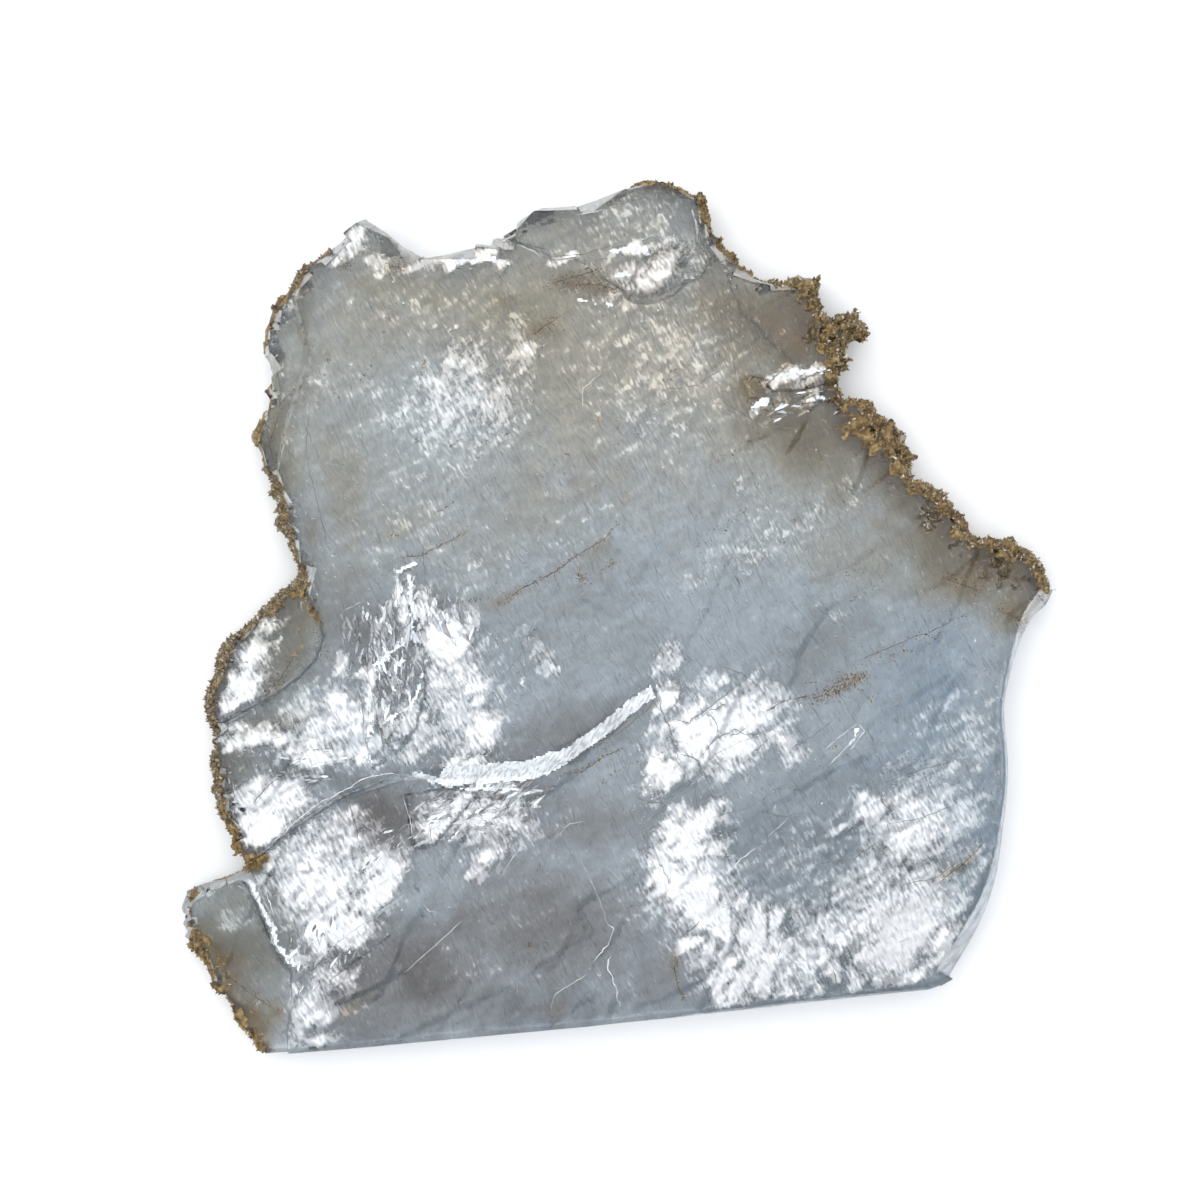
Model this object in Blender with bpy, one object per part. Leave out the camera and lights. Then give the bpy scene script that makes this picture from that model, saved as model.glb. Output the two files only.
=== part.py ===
"""A slab of clear selenite, lying on its broad back face.

One crystal, broken and split along its layers: the front has flat layers that end in slanting fracture faces,
the right side and the lower side are ground and sawn smooth, and the other edges keep a rough, stained crust of
small crystals, lumps and pits. +X is the slab's right, +Y its upper end and +Z the way its front face looks.
Lengths are in millimetres until they go into a mesh.
"""
import math
import random

import bmesh
import bpy
from mathutils import Euler, Matrix, Vector

MM = 0.001
SEED = 13

FACE = 18.0                 # height of the main front face over the back face
CLEARANCE = 6.0             # how far cutters reach past what they cut

RAISED_LAYER = 1.8          # the layer left standing on the face at the upper end
LENS_RISE = 1.3
SOUTH_STEP = 2.2            # drop below the long fracture
FOOT_STEP = 5.6             # drop to the lower left foot
LOBE_STEP = 3.2             # drop to the left lobe
BAND_STEP = 1.4             # drop to the band along the upper left edge
RAMP_START = -6.0           # the drop below the long fracture runs out to nothing between these two
RAMP_END = 27.0

# Edges of the slab as (right, up), clockwise from the peak at the upper left.
BROKEN_TOP = [
    (-75.6, 120.3), (-68.7, 115.5), (-64.2, 111.6), (-56.7, 108.0), (-51.3, 109.2), (-41.1, 112.5), (-37.5, 111.9),
    (-37.2, 114.9), (-29.7, 119.1), (-21.9, 123.6), (-13.8, 124.2), (-6.3, 126.0), (4.5, 129.3), (5.4, 131.1),
    (9.9, 131.7), (14.4, 131.1), (20.4, 129.6), (25.8, 127.8)]
RIGHT_CRUST = [
    (27.6, 125.1), (28.5, 120.9), (29.1, 116.4), (31.5, 115.5), (32.4, 112.8), (36.0, 110.4), (37.5, 107.7),
    (42.6, 103.5), (45.9, 102.3), (47.7, 103.2), (50.4, 102.0), (52.8, 102.3), (55.2, 104.1), (56.7, 102.6),
    (61.8, 102.6), (62.1, 100.5), (60.9, 96.6), (63.3, 93.3), (65.1, 90.9), (68.4, 91.5), (72.6, 93.9),
    (74.7, 93.3), (72.9, 90.6), (75.9, 90.0), (75.3, 87.0), (73.8, 84.9), (69.6, 82.5), (72.3, 80.1),
    (71.1, 78.0), (69.6, 75.0), (67.2, 72.3), (67.8, 69.9), (69.6, 66.9), (74.4, 66.6), (77.7, 66.0),
    (78.3, 61.8), (83.1, 59.7), (84.3, 57.9), (88.5, 55.2), (87.0, 51.9), (91.5, 49.5), (89.7, 47.1),
    (89.7, 42.0), (93.9, 40.8), (99.0, 38.4), (100.5, 35.1), (102.9, 32.7), (106.2, 31.5), (107.7, 25.5),
    (114.0, 24.0), (117.9, 23.4), (120.0, 24.9), (121.5, 22.5), (127.2, 19.2), (129.3, 16.2), (129.9, 12.9),
    (132.0, 10.5)]
# The ground edge is a smooth run through these, each with the width of its bevel.
GROUND_EDGE = [
    (132.3, 8.4, 4.5), (130.2, 3.9, 5.4), (125.4, -0.3, 3.6), (120.6, -9.9, 1.8), (117.3, -21.9, 1.0),
    (116.7, -30.0, 1.0), (117.9, -46.5, 1.0), (116.4, -63.0, 1.4), (114.0, -80.1, 3.0), (109.2, -93.9, 4.8),
    (101.1, -108.3, 5.6)]
SAWN_EDGE = [(97.5, -110.4), (93.9, -111.6), (57.0, -115.5), (-8.4, -123.0), (-82.2, -129.9), (-105.6, -131.7)]
FOOT_CRUST = [
    (-109.2, -130.8), (-111.9, -127.2), (-117.0, -122.1), (-117.6, -117.9), (-121.8, -113.1), (-123.6, -109.2),
    (-125.1, -105.3), (-130.8, -100.5), (-129.9, -98.4), (-131.4, -97.2), (-130.2, -95.4), (-132.3, -93.6),
    (-131.1, -91.2), (-132.3, -88.5), (-130.5, -83.1), (-126.3, -81.3), (-118.5, -79.2), (-113.7, -76.5)]
LEFT_CRUST = [
    (-114.6, -71.7), (-117.0, -68.7), (-116.1, -66.3), (-118.5, -62.7), (-120.6, -57.3), (-120.3, -54.9),
    (-121.5, -52.2), (-121.5, -47.7), (-122.7, -43.5), (-121.8, -39.9), (-122.4, -35.4), (-124.2, -30.6),
    (-125.1, -21.9), (-122.1, -19.2), (-121.2, -12.0), (-119.7, -7.8), (-114.9, -4.2), (-109.8, -0.6),
    (-107.1, 3.6), (-103.2, 6.9), (-96.3, 12.3), (-96.3, 15.6), (-97.5, 19.2), (-99.9, 21.6), (-99.0, 23.7),
    (-100.2, 25.5), (-103.8, 28.2), (-101.7, 30.9), (-103.8, 32.7), (-102.3, 35.1), (-105.0, 37.2),
    (-104.1, 41.1), (-106.8, 43.8), (-108.3, 47.1), (-107.4, 49.2), (-111.0, 54.9), (-108.9, 57.9),
    (-106.8, 62.7), (-104.4, 67.2), (-107.1, 68.7), (-103.8, 71.4), (-105.0, 77.4), (-106.8, 80.1),
    (-106.8, 84.9), (-106.2, 87.6), (-103.8, 93.6), (-102.3, 96.3), (-99.0, 100.2), (-96.3, 105.0),
    (-91.5, 108.3), (-87.6, 111.9), (-84.3, 112.8), (-81.0, 116.4)]

# Fracture faces as (right, up, width): the line is the upper lip, and the face slants down over the width.
LONG_FRACTURE = [
    (-122.0, -79.0, 1.0), (-113.0, -75.9, 1.0), (-99.5, -64.5, 1.2), (-83.0, -53.5, 1.5), (-65.0, -46.5, 2.4),
    (-50.0, -44.7, 3.9), (-33.0, -43.5, 4.2), (-23.0, -42.0, 4.8), (-13.0, -36.6, 6.5), (-3.0, -30.0, 5.0),
    (10.5, -19.8, 3.0)]
LONG_FRACTURE_FAR_SIDE = [(27.0, -22.0), (27.0, -140.0), (-140.0, -140.0), (-140.0, -79.0)]
FOOT_FRACTURE = [
    (-114.5, -75.5, 2.0), (-109.5, -79.5, 3.0), (-106.0, -86.5, 3.6), (-103.0, -94.0, 3.4), (-100.0, -101.5, 2.6),
    (-96.8, -107.0, 1.6), (-97.4, -117.5, 1.0), (-98.6, -125.0, 1.0), (-97.8, -140.0, 1.0)]
FOOT_FAR_SIDE = [(-145.0, -140.0), (-145.0, -72.0), (-116.0, -72.0)]
LOBE_FRACTURE = [
    (-120.5, -33.5, 1.0), (-112.5, -29.5, 1.4), (-103.5, -24.5, 1.8), (-94.8, -18.5, 1.6), (-89.4, -12.5, 1.4),
    (-87.2, -5.5, 1.2), (-91.0, 5.5, 1.2), (-96.8, 14.0, 1.0)]
LOBE_FAR_SIDE = [(-108.0, 24.0), (-145.0, 24.0), (-145.0, -33.5)]
BAND_FRACTURE = [
    (-106.5, 35.0, 0.8), (-101.0, 45.0, 1.2), (-97.8, 59.4, 1.6), (-94.5, 70.0, 1.4), (-91.8, 80.4, 1.6),
    (-96.0, 95.4, 1.4), (-90.0, 112.0, 0.8)]
BAND_FAR_SIDE = [(-96.0, 125.0), (-145.0, 125.0), (-145.0, 35.0)]

# Layers and shards left standing, as (outline, top height over the face, inset of the top).
UPPER_LAYER = [
    (-36.0, 112.6), (-29.0, 116.6), (-21.5, 121.0), (-13.5, 121.7), (-6.0, 123.5), (4.5, 126.5), (14.0, 128.2),
    (23.5, 125.5), (25.5, 119.0), (26.5, 112.5), (30.5, 108.0), (27.0, 101.5), (19.5, 98.5), (13.0, 96.0),
    (6.9, 94.8), (1.8, 96.9), (-4.8, 100.5), (-10.2, 104.4), (-13.8, 107.7), (-21.0, 106.8), (-23.1, 110.4),
    (-33.6, 113.4)]
FLAKES = [
    ([(44.7, 70.0), (51.5, 76.8), (55.2, 72.0), (65.0, 75.0), (67.5, 71.5), (56.0, 67.8), (46.5, 67.8)], 1.3, 0.7),
    ([(55.2, 64.0), (55.8, 67.0), (66.0, 70.0), (68.0, 67.5), (64.0, 64.8)], 2.1, 0.6),
    ([(38.7, 62.5), (46.8, 69.0), (47.4, 61.8)], 0.9, 0.5)]
SHARDS = [
    ([(-80.0, -9.5), (-75.5, -10.5), (-68.5, -44.0), (-73.5, -46.0)], 0.9, 1.2),
    ([(-69.5, -38.0), (-62.5, -29.0), (-60.0, -16.5), (-62.0, -6.0), (-57.5, -8.0), (-56.5, -22.0),
      (-60.0, -34.0), (-66.0, -41.0)], 1.2, 0.9),
    ([(-65.5, 13.5), (-60.5, 16.5), (-56.0, -2.0), (-59.5, -5.0)], 0.8, 0.8),
    ([(-64.2, -53.0), (-61.2, -70.0), (-54.5, -69.0), (-41.0, -52.5), (-49.5, -50.2)], -1.1, 1.0),
    ([(-93.0, -104.8), (-60.5, -79.8), (-59.0, -81.8), (-91.5, -106.6)], -1.4, 0.5),
    ([(-86.5, -109.6), (-59.0, -88.2), (-57.6, -90.0), (-85.0, -111.4)], -1.5, 0.5)]
POCKET = [(37.8, 71.4), (40.8, 72.6), (45.6, 71.4), (46.8, 67.8), (43.8, 66.0), (39.6, 66.3)]
POCKET_DEPTH = 1.0

# Sheets split off the back face, so that it rests on a flat middle.
BACK_STEPS = [
    ([(20.0, 140.0), (38.0, 92.0), (74.0, 58.0), (140.0, 46.0), (140.0, 140.0)], 1.2),
    ([(-140.0, -66.0), (-104.0, -78.0), (-88.0, -140.0), (-140.0, -140.0)], 1.6)]

# Flat chips knocked off the rims, as (edge, mean spacing, drop from the rim, width on the face).
FRONT_CHIPS = [
    (BROKEN_TOP, 11.0, (1.5, 4.0), (0.8, 2.2)), (RIGHT_CRUST, 5.5, (3.5, 8.0), (2.0, 5.0)),
    (FOOT_CRUST, 6.0, (2.5, 6.0), (1.5, 4.0)), (LEFT_CRUST, 5.5, (3.0, 7.5), (1.8, 4.5))]
BACK_CHIPS = [
    (BROKEN_TOP, 16.0, (1.5, 4.0), (0.8, 2.0)), (RIGHT_CRUST, 8.0, (2.5, 6.0), (1.8, 4.5)),
    (FOOT_CRUST, 9.0, (2.0, 5.0), (1.5, 3.5)), (LEFT_CRUST, 8.0, (2.5, 6.0), (1.8, 4.5))]
CHIP_THICKNESS = 9.0
SAWN_CHAMFER = 0.8

# Crust crystals by stretch, as (edge, how far in they reach, number).
CRYSTAL_BANDS = [(LEFT_CRUST, 6.0, 92), (FOOT_CRUST, 5.0, 30), (RIGHT_CRUST, 8.0, 88)]
# Wider patches of spongy crust on the face, as (right, up, radius, lumps).
SPONGE_PATCHES = [
    (61.5, 84.5, 5.5, 7), (76.0, 56.0, 5.0, 6), (82.5, 48.5, 4.0, 4), (94.5, 31.0, 4.0, 4), (115.0, 14.5, 6.0, 6)]
PITS = [
    (64.5, 83.5, 1.9), (70.5, 87.0, 1.6), (62.0, 86.5, 1.5), (77.0, 56.5, 1.9), (84.0, 55.0, 1.6), (88.0, 47.4, 1.5),
    (84.5, 49.6, 1.7), (101.0, 29.5, 1.8), (114.0, 20.0, 1.8), (-112.0, -57.5, 1.7), (-101.0, 88.0, 1.6)]

CRYSTAL_LENGTH = (3.0, 6.0)
CRYSTAL_RADIUS = (1.3, 2.4)
LUMP_RADIUS = (1.4, 2.6)

SELENITE_COLOUR = (0.44, 0.46, 0.47, 1.0)
SELENITE_ROUGHNESS = 0.2


def clear_scene():
    for obj in list(bpy.data.objects):
        bpy.data.objects.remove(obj)


def new_collection(name):
    collection = bpy.data.collections.new(name)
    bpy.context.scene.collection.children.link(collection)
    return collection


def new_object(name, build_mesh, collection):
    """Makes an object from a bmesh in millimetres, with its faces turned outwards."""
    bmesh.ops.recalc_face_normals(build_mesh, faces=build_mesh.faces)
    bmesh.ops.scale(build_mesh, vec=Vector((MM, MM, MM)), verts=build_mesh.verts)
    mesh = bpy.data.meshes.new(name)
    build_mesh.to_mesh(mesh)
    build_mesh.free()
    obj = bpy.data.objects.new(name, mesh)
    collection.objects.link(obj)
    return obj


def selenite_material():
    material = bpy.data.materials.new("selenite")
    material.use_nodes = True
    shader = material.node_tree.nodes["Principled BSDF"]
    shader.inputs["Base Color"].default_value = SELENITE_COLOUR
    shader.inputs["Roughness"].default_value = SELENITE_ROUGHNESS
    shader.inputs["Metallic"].default_value = 0.0
    shader.inputs["Transmission Weight"].default_value = 0.8
    return material


def smooth_run(points, steps):
    """Points of a Catmull-Rom curve through the given ones, whatever number of values each holds."""
    vectors = [Vector(point) for point in points]
    vectors = [vectors[0] * 2 - vectors[1]] + vectors + [vectors[-1] * 2 - vectors[-2]]
    run = []
    for before, start, end, after in zip(vectors, vectors[1:], vectors[2:], vectors[3:]):
        for step in range(steps):
            t = step / steps
            run.append(0.5 * (2 * start + (end - before) * t + (2 * before - 5 * start + 4 * end - after) * t ** 2
                              + (3 * start - before - 3 * end + after) * t ** 3))
    return run + [vectors[-2]]


def loft(rings):
    """A closed solid through rings of equally many points, from the lowest to the highest."""
    build = bmesh.new()
    rows = [[build.verts.new(place) for place in ring] for ring in rings]
    build.faces.new(rows[0])
    build.faces.new(rows[-1])
    count = len(rows[0])
    for low, high in zip(rows, rows[1:]):
        for index in range(count):
            after = (index + 1) % count
            build.faces.new((low[index], low[after], high[after], high[index]))
    return build


def slab_blank(collection):
    """The whole outline, clockwise, at the slab's full thickness."""
    ground = [tuple(place[:2]) for place in smooth_run(GROUND_EDGE, 4)]
    outline = BROKEN_TOP + RIGHT_CRUST + ground + SAWN_EDGE + FOOT_CRUST + LEFT_CRUST
    curve = bpy.data.curves.new("outline", "CURVE")
    curve.dimensions = "2D"
    curve.fill_mode = "BOTH"
    curve.extrude = FACE / 2
    spline = curve.splines.new("POLY")
    spline.points.add(len(outline) - 1)
    for point, (across, up) in zip(spline.points, outline):
        point.co = (across, up, 0.0, 1.0)
    spline.use_cyclic_u = True
    drawn = bpy.data.objects.new("outline", curve)
    collection.objects.link(drawn)
    depsgraph = bpy.context.evaluated_depsgraph_get()
    mesh = bpy.data.meshes.new_from_object(drawn.evaluated_get(depsgraph))
    build = bmesh.new()
    build.from_mesh(mesh)
    bmesh.ops.remove_doubles(build, verts=build.verts, dist=0.001)
    bmesh.ops.translate(build, vec=Vector((0.0, 0.0, FACE / 2)), verts=build.verts)
    bpy.data.objects.remove(drawn)
    return new_object("selenite_slab", build, collection)


def turned_left(points):
    """For each point of an open line, the unit vector to the left of the way it runs."""
    sides = []
    for index in range(len(points)):
        run = points[min(index + 1, len(points) - 1)] - points[max(index - 1, 0)]
        sides.append(Vector((-run.y, run.x)).normalized())
    return sides


def step_cutter(name, fracture, far_side, floor, side, collection, split_at=None):
    """What is missing beyond a fracture: it opens upwards, and its near wall slants over the fracture's width.

    floor gives the height of its bottom at a place, side is +1 where the material is missing to the left of the
    line and -1 to its right, and split_at is a place across X where the bottom may fold.
    """
    line = [Vector(place[:2]) for place in fracture]
    widths = [place[2] for place in fracture]
    across = turned_left(line)
    lip = line + [Vector(place) for place in far_side]
    foot = [point + direction * side * width for point, direction, width in zip(line, across, widths)]
    foot += [Vector(place) for place in far_side]
    above = [(point.x, point.y, FACE + CLEARANCE) for point in lip]
    at_face = [(point.x, point.y, FACE) for point in lip]
    below = [(point.x, point.y, FACE - 1.0) for point in foot]
    build = loft([below, at_face, above])
    if split_at is not None:
        geometry = build.verts[:] + build.edges[:] + build.faces[:]
        bmesh.ops.bisect_plane(build, geom=geometry, plane_co=(split_at, 0, 0), plane_no=(1, 0, 0))
    for vert in build.verts:
        if vert.co.z < FACE - 0.5:
            vert.co.z = floor(vert.co.x, vert.co.y)
    return new_object(name, build, collection)


def south_floor(across, _up):
    """The drop below the long fracture is even on the left and runs out along a ramp on the right."""
    share = min(1.0, max(0.0, (RAMP_END - across) / (RAMP_END - RAMP_START)))
    return FACE - SOUTH_STEP * share


def flat_plate(name, outline, low, high, top_inset, collection):
    """A plate between two heights whose top is drawn in towards its middle."""
    points = [Vector(place) for place in outline]
    middle = sum(points, Vector((0.0, 0.0))) / len(points)
    base = [(point.x, point.y, low) for point in points]
    top = []
    for point in points:
        towards = (middle - point).normalized()
        place = point + towards * top_inset
        top.append((place.x, place.y, high))
    return new_object(name, loft([base, top]), collection)


def lens(collection):
    """The low rounded swelling that lies on the raised layer."""
    build = bmesh.new()
    bmesh.ops.create_uvsphere(build, u_segments=20, v_segments=10, radius=1.0)
    turn = Matrix.Rotation(math.radians(35.0), 4, "Z") @ Matrix.Diagonal((13.5, 8.5, LENS_RISE + 3.0, 1.0))
    bmesh.ops.transform(build, matrix=Matrix.Translation((13.0, 104.0, FACE + RAISED_LAYER - 3.0)) @ turn,
                        verts=build.verts)
    return new_object("lens", build, collection)


def front_height(stretch, up):
    """Height of the front face at the rim of an edge."""
    if stretch is FOOT_CRUST:
        return FACE - FOOT_STEP
    if stretch is LEFT_CRUST and LOBE_FRACTURE[0][1] < up < LOBE_FRACTURE[-1][1]:
        return FACE - LOBE_STEP
    if stretch is LEFT_CRUST and up > BAND_FRACTURE[0][1]:
        return FACE - BAND_STEP
    return FACE


def new_chip(name, place, outward, rim, drop, width, length, collection):
    """A block that takes a flat chip off a rim: drop is negative at the back rim, which it cuts from below."""
    up = math.copysign(1.0, drop)
    low = Vector((place.x, place.y, rim - drop))
    high = Vector((place.x - outward.x * width, place.y - outward.y * width, rim))
    across = (high - low).normalized()
    along = Vector((-outward.y, outward.x, 0.0))
    away = across.cross(along).normalized()
    if away.z * up < 0:
        away.negate()
    build = bmesh.new()
    bmesh.ops.create_cube(build, size=1.0)
    size = Matrix.Diagonal((length, 26.0, CHIP_THICKNESS, 1.0))
    turn = Matrix((along, away.cross(along), away)).transposed().to_4x4()
    middle = (low + high) / 2 + away * (CHIP_THICKNESS / 2)
    bmesh.ops.transform(build, matrix=Matrix.Translation(middle) @ turn @ size, verts=build.verts)
    return new_object(name, build, collection)


def rim_chips(collection, rng):
    """Chips along the rough edges, front and back, each turned and sized a little differently."""
    for side, rows in (("front", FRONT_CHIPS), ("back", BACK_CHIPS)):
        for row, (stretch, spacing, drops, widths) in enumerate(rows):
            edge = [Vector(place) for place in stretch]
            inward = [-direction for direction in turned_left(edge)]
            number = round(sum((end - start).length for start, end in zip(edge, edge[1:])) / spacing)
            for index in range(number):
                point, direction = place_along(edge, inward, (index + rng.uniform(0.1, 0.9)) / number)
                outward = -direction
                outward.rotate(Matrix.Rotation(rng.uniform(-0.5, 0.5), 2))
                drop = rng.uniform(*drops)
                rim = front_height(stretch, point.y)
                if side == "back":
                    drop = -drop
                    rim = 0.0
                new_chip(f"chip_{side}_{row}_{index}", point, outward, rim, drop, rng.uniform(*widths),
                         spacing * rng.uniform(1.0, 1.7), collection)


def rim_strip(name, points, widths, slope, collection):
    """A long wedge that bevels the front rim along a run of points, slope times as deep as it is wide."""
    sections = []
    for point, outward, width in zip(points, turned_left(points), widths):
        outside = point + outward * width
        inside = point - outward * 2 * width
        low = FACE - 2 * slope * width
        high = FACE + slope * width
        sections.append([(outside.x, outside.y, low), (outside.x, outside.y, high), (inside.x, inside.y, high)])
    new_object(name, loft(sections), collection)


def smooth_bevels(collection):
    """The wide bevel along the ground edge and the narrow chamfer along the sawn one."""
    run = smooth_run(GROUND_EDGE, 4)
    rim_strip("ground_bevel", [Vector(place[:2]) for place in run], [place[2] for place in run], 1.3, collection)
    points = [Vector(place) for place in SAWN_EDGE]
    rim_strip("sawn_chamfer", points, [SAWN_CHAMFER] * len(points), 1.0, collection)


def new_crystal(name, place, direction, length, radius, sides, spin, collection):
    """One small crystal: a tapering prism with flat faces that points along the direction."""
    build = bmesh.new()
    bmesh.ops.create_cone(build, cap_ends=True, segments=sides, radius1=radius, radius2=radius * 0.35, depth=length)
    turn = direction.to_track_quat("Z", "Y").to_matrix().to_4x4() @ Matrix.Rotation(spin, 4, "Z")
    flatten = Matrix.Diagonal((1.0, 0.62, 1.0, 1.0))
    bmesh.ops.transform(build, matrix=Matrix.Translation(place) @ turn @ flatten, verts=build.verts)
    return new_object(name, build, collection)


def place_along(edge, inward, share):
    """A place on an edge and the way inwards there, for a share of its length between 0 and 1."""
    lengths = [(end - start).length for start, end in zip(edge, edge[1:])]
    left = share * sum(lengths)
    for index, length in enumerate(lengths):
        if left <= length:
            t = left / length
            return edge[index].lerp(edge[index + 1], t), inward[index].lerp(inward[index + 1], t).normalized()
        left -= length
    return edge[-1], inward[-1]


def crust_crystals(collection, rng):
    """Small crystals that stand all along the rough edges, near the front rim and on the outer side."""
    for band, (stretch, reach, number) in enumerate(CRYSTAL_BANDS):
        edge = [Vector(place) for place in stretch]
        inward = [-direction for direction in turned_left(edge)]
        for index in range(number):
            point, direction = place_along(edge, inward, (index + rng.uniform(0.2, 0.8)) / number)
            length = rng.uniform(*CRYSTAL_LENGTH)
            rim = front_height(stretch, point.y)
            if index % 4 == 3:
                depth = length * 0.45
                height = rng.uniform(0.25, 0.6) * rim
                lift = rng.uniform(-0.3, 0.3)
            else:
                depth = length * 0.6 + rng.random() ** 1.6 * reach
                height = rim - 1.2 - 4.0 * max(0.0, 1.0 - depth / 5.0)
                lift = rng.uniform(0.1, 0.9)
            place = point + direction * depth
            aim = Vector((-direction.x, -direction.y, 0.0))
            aim.rotate(Euler((0.0, 0.0, rng.uniform(-0.6, 0.6))))
            aim.z = lift
            new_crystal(f"crystal_{band}_{index}", (place.x, place.y, height), aim.normalized(), length,
                        rng.uniform(*CRYSTAL_RADIUS), rng.choice((4, 5, 6)), rng.uniform(0.0, math.pi), collection)


def crust_lumps(collection, rng):
    """Rounded lumps where the crust spreads onto the face."""
    for patch, (across, up, spread, number) in enumerate(SPONGE_PATCHES):
        for index in range(number):
            build = bmesh.new()
            bmesh.ops.create_icosphere(build, subdivisions=1, radius=rng.uniform(*LUMP_RADIUS))
            angle = 2.4 * index + rng.uniform(-0.4, 0.4)
            reach = spread * math.sqrt((index + 0.4) / number)
            stretch = Matrix.Diagonal((rng.uniform(0.8, 1.4), rng.uniform(0.8, 1.3), rng.uniform(0.6, 0.9), 1.0))
            turn = Euler([rng.uniform(0.0, math.pi) for _axis in range(3)]).to_matrix().to_4x4()
            place = (across + reach * math.cos(angle), up + reach * math.sin(angle), FACE - 0.7)
            bmesh.ops.transform(build, matrix=Matrix.Translation(place) @ turn @ stretch, verts=build.verts)
            new_object(f"lump_{patch}_{index}", build, collection)


def crust_pits(collection, rng):
    """Small holes that end inside the crust, each a five-sided funnel."""
    for index, (across, up, radius) in enumerate(PITS):
        aim = Vector((rng.uniform(-0.3, 0.3), rng.uniform(-0.3, 0.3), -1.0))
        new_crystal(f"pit_{index}", (across, up, FACE), aim, 7.0, radius, 5, rng.uniform(0.0, math.pi), collection)


def apply_boolean(obj, cutters, operation, solver="EXACT"):
    """Joins or takes away all the objects of a collection at once, however they overlap each other.

    The crust's many crossing crystals need the MANIFOLD solver, which keeps them one closed body.
    """
    modifier = obj.modifiers.new(cutters.name, "BOOLEAN")
    modifier.operation = operation
    modifier.operand_type = "COLLECTION"
    modifier.solver = solver
    modifier.collection = cutters
    for tool in cutters.objects:
        tool.display_type = "WIRE"
        tool.hide_render = True


def build_slab():
    clear_scene()
    rng = random.Random(SEED)
    model = new_collection("selenite_slab")
    slab = slab_blank(model)
    slab.data.materials.append(selenite_material())

    steps = new_collection("steps_cut")
    step_cutter("long_fracture", LONG_FRACTURE, LONG_FRACTURE_FAR_SIDE, south_floor, -1, steps, RAMP_START)
    step_cutter("foot_fracture", FOOT_FRACTURE, FOOT_FAR_SIDE, lambda _x, _y: FACE - FOOT_STEP, -1, steps)
    step_cutter("lobe_fracture", LOBE_FRACTURE, LOBE_FAR_SIDE, lambda _x, _y: FACE - LOBE_STEP, 1, steps)
    step_cutter("band_fracture", BAND_FRACTURE, BAND_FAR_SIDE, lambda _x, _y: FACE - BAND_STEP, 1, steps)
    flat_plate("pocket", POCKET, FACE - POCKET_DEPTH, FACE + CLEARANCE, -1.0, steps)
    for number, (outline, depth) in enumerate(BACK_STEPS):
        flat_plate(f"back_step_{number}", outline, -CLEARANCE, depth, 0.8, steps)
    apply_boolean(slab, steps, "DIFFERENCE")

    chips = new_collection("chips_cut")
    rim_chips(chips, rng)
    smooth_bevels(chips)
    apply_boolean(slab, chips, "DIFFERENCE")

    growth = new_collection("growth_joined")
    flat_plate("upper_layer", UPPER_LAYER, FACE - 3.0, FACE + RAISED_LAYER, 2.0, growth)
    lens(growth)
    for number, (outline, rise, inset) in enumerate(FLAKES + SHARDS):
        flat_plate(f"shard_{number}", outline, FACE - 4.0, FACE + rise, inset, growth)
    crust_lumps(growth, rng)
    crust_crystals(growth, rng)
    apply_boolean(slab, growth, "UNION", "MANIFOLD")

    pits = new_collection("pits_cut")
    crust_pits(pits, rng)
    apply_boolean(slab, pits, "DIFFERENCE", "MANIFOLD")


build_slab()
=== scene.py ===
"""Selenite slab: the finish of the crystal, its silver veils, cracks, stains and crust."""
import math

import bmesh
import bpy
import numpy as np
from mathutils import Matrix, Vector, noise
from mathutils.bvhtree import BVHTree


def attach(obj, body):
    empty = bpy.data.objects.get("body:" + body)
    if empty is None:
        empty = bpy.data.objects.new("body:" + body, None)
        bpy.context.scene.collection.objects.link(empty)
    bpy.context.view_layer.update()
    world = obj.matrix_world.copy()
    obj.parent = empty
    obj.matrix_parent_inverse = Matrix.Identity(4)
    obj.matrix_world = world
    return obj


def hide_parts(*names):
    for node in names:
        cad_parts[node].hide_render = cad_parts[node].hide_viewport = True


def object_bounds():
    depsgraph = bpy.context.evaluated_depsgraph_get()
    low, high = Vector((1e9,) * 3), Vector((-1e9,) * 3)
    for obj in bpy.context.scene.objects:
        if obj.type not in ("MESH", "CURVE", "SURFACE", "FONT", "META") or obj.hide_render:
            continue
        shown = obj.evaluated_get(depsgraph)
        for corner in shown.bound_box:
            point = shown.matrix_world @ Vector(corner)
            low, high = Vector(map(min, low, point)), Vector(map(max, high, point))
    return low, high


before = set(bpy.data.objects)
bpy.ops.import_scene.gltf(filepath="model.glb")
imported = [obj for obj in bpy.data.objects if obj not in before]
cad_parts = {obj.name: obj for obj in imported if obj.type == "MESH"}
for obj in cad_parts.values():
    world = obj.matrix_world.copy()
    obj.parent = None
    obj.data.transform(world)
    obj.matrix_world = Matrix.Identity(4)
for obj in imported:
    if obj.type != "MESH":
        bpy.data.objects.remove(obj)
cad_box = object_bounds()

MM = 0.001            # every length below is in millimetres, every angle in degrees
SLAB = "selenite_slab"
FACE = 18.0           # height of the front face over the back
RIM = 17.0            # height of the front face's edge, from which a side goes down
REACH = 133.0         # how far every grid over the slab goes to each side of its middle
LOW_ROOF = 9.0        # where the slab is thinner than this, nothing is laid on it or in it
SEED = 7

# ---------------------------------------------------------------- camera, floor and light

VIEW_CENTRE = (-4.8, 5.4)
VIEW_HEIGHT = 700.0   # of the camera over the front face
VIEW_WIDTH = 360.0    # what the camera sees of the front face from side to side
SENSOR = 36.0
FLOOR_SIZE = 6.0      # metres
FLOOR_GAP = 0.2


def link(thing):
    bpy.context.scene.collection.objects.link(thing)
    return thing


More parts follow.
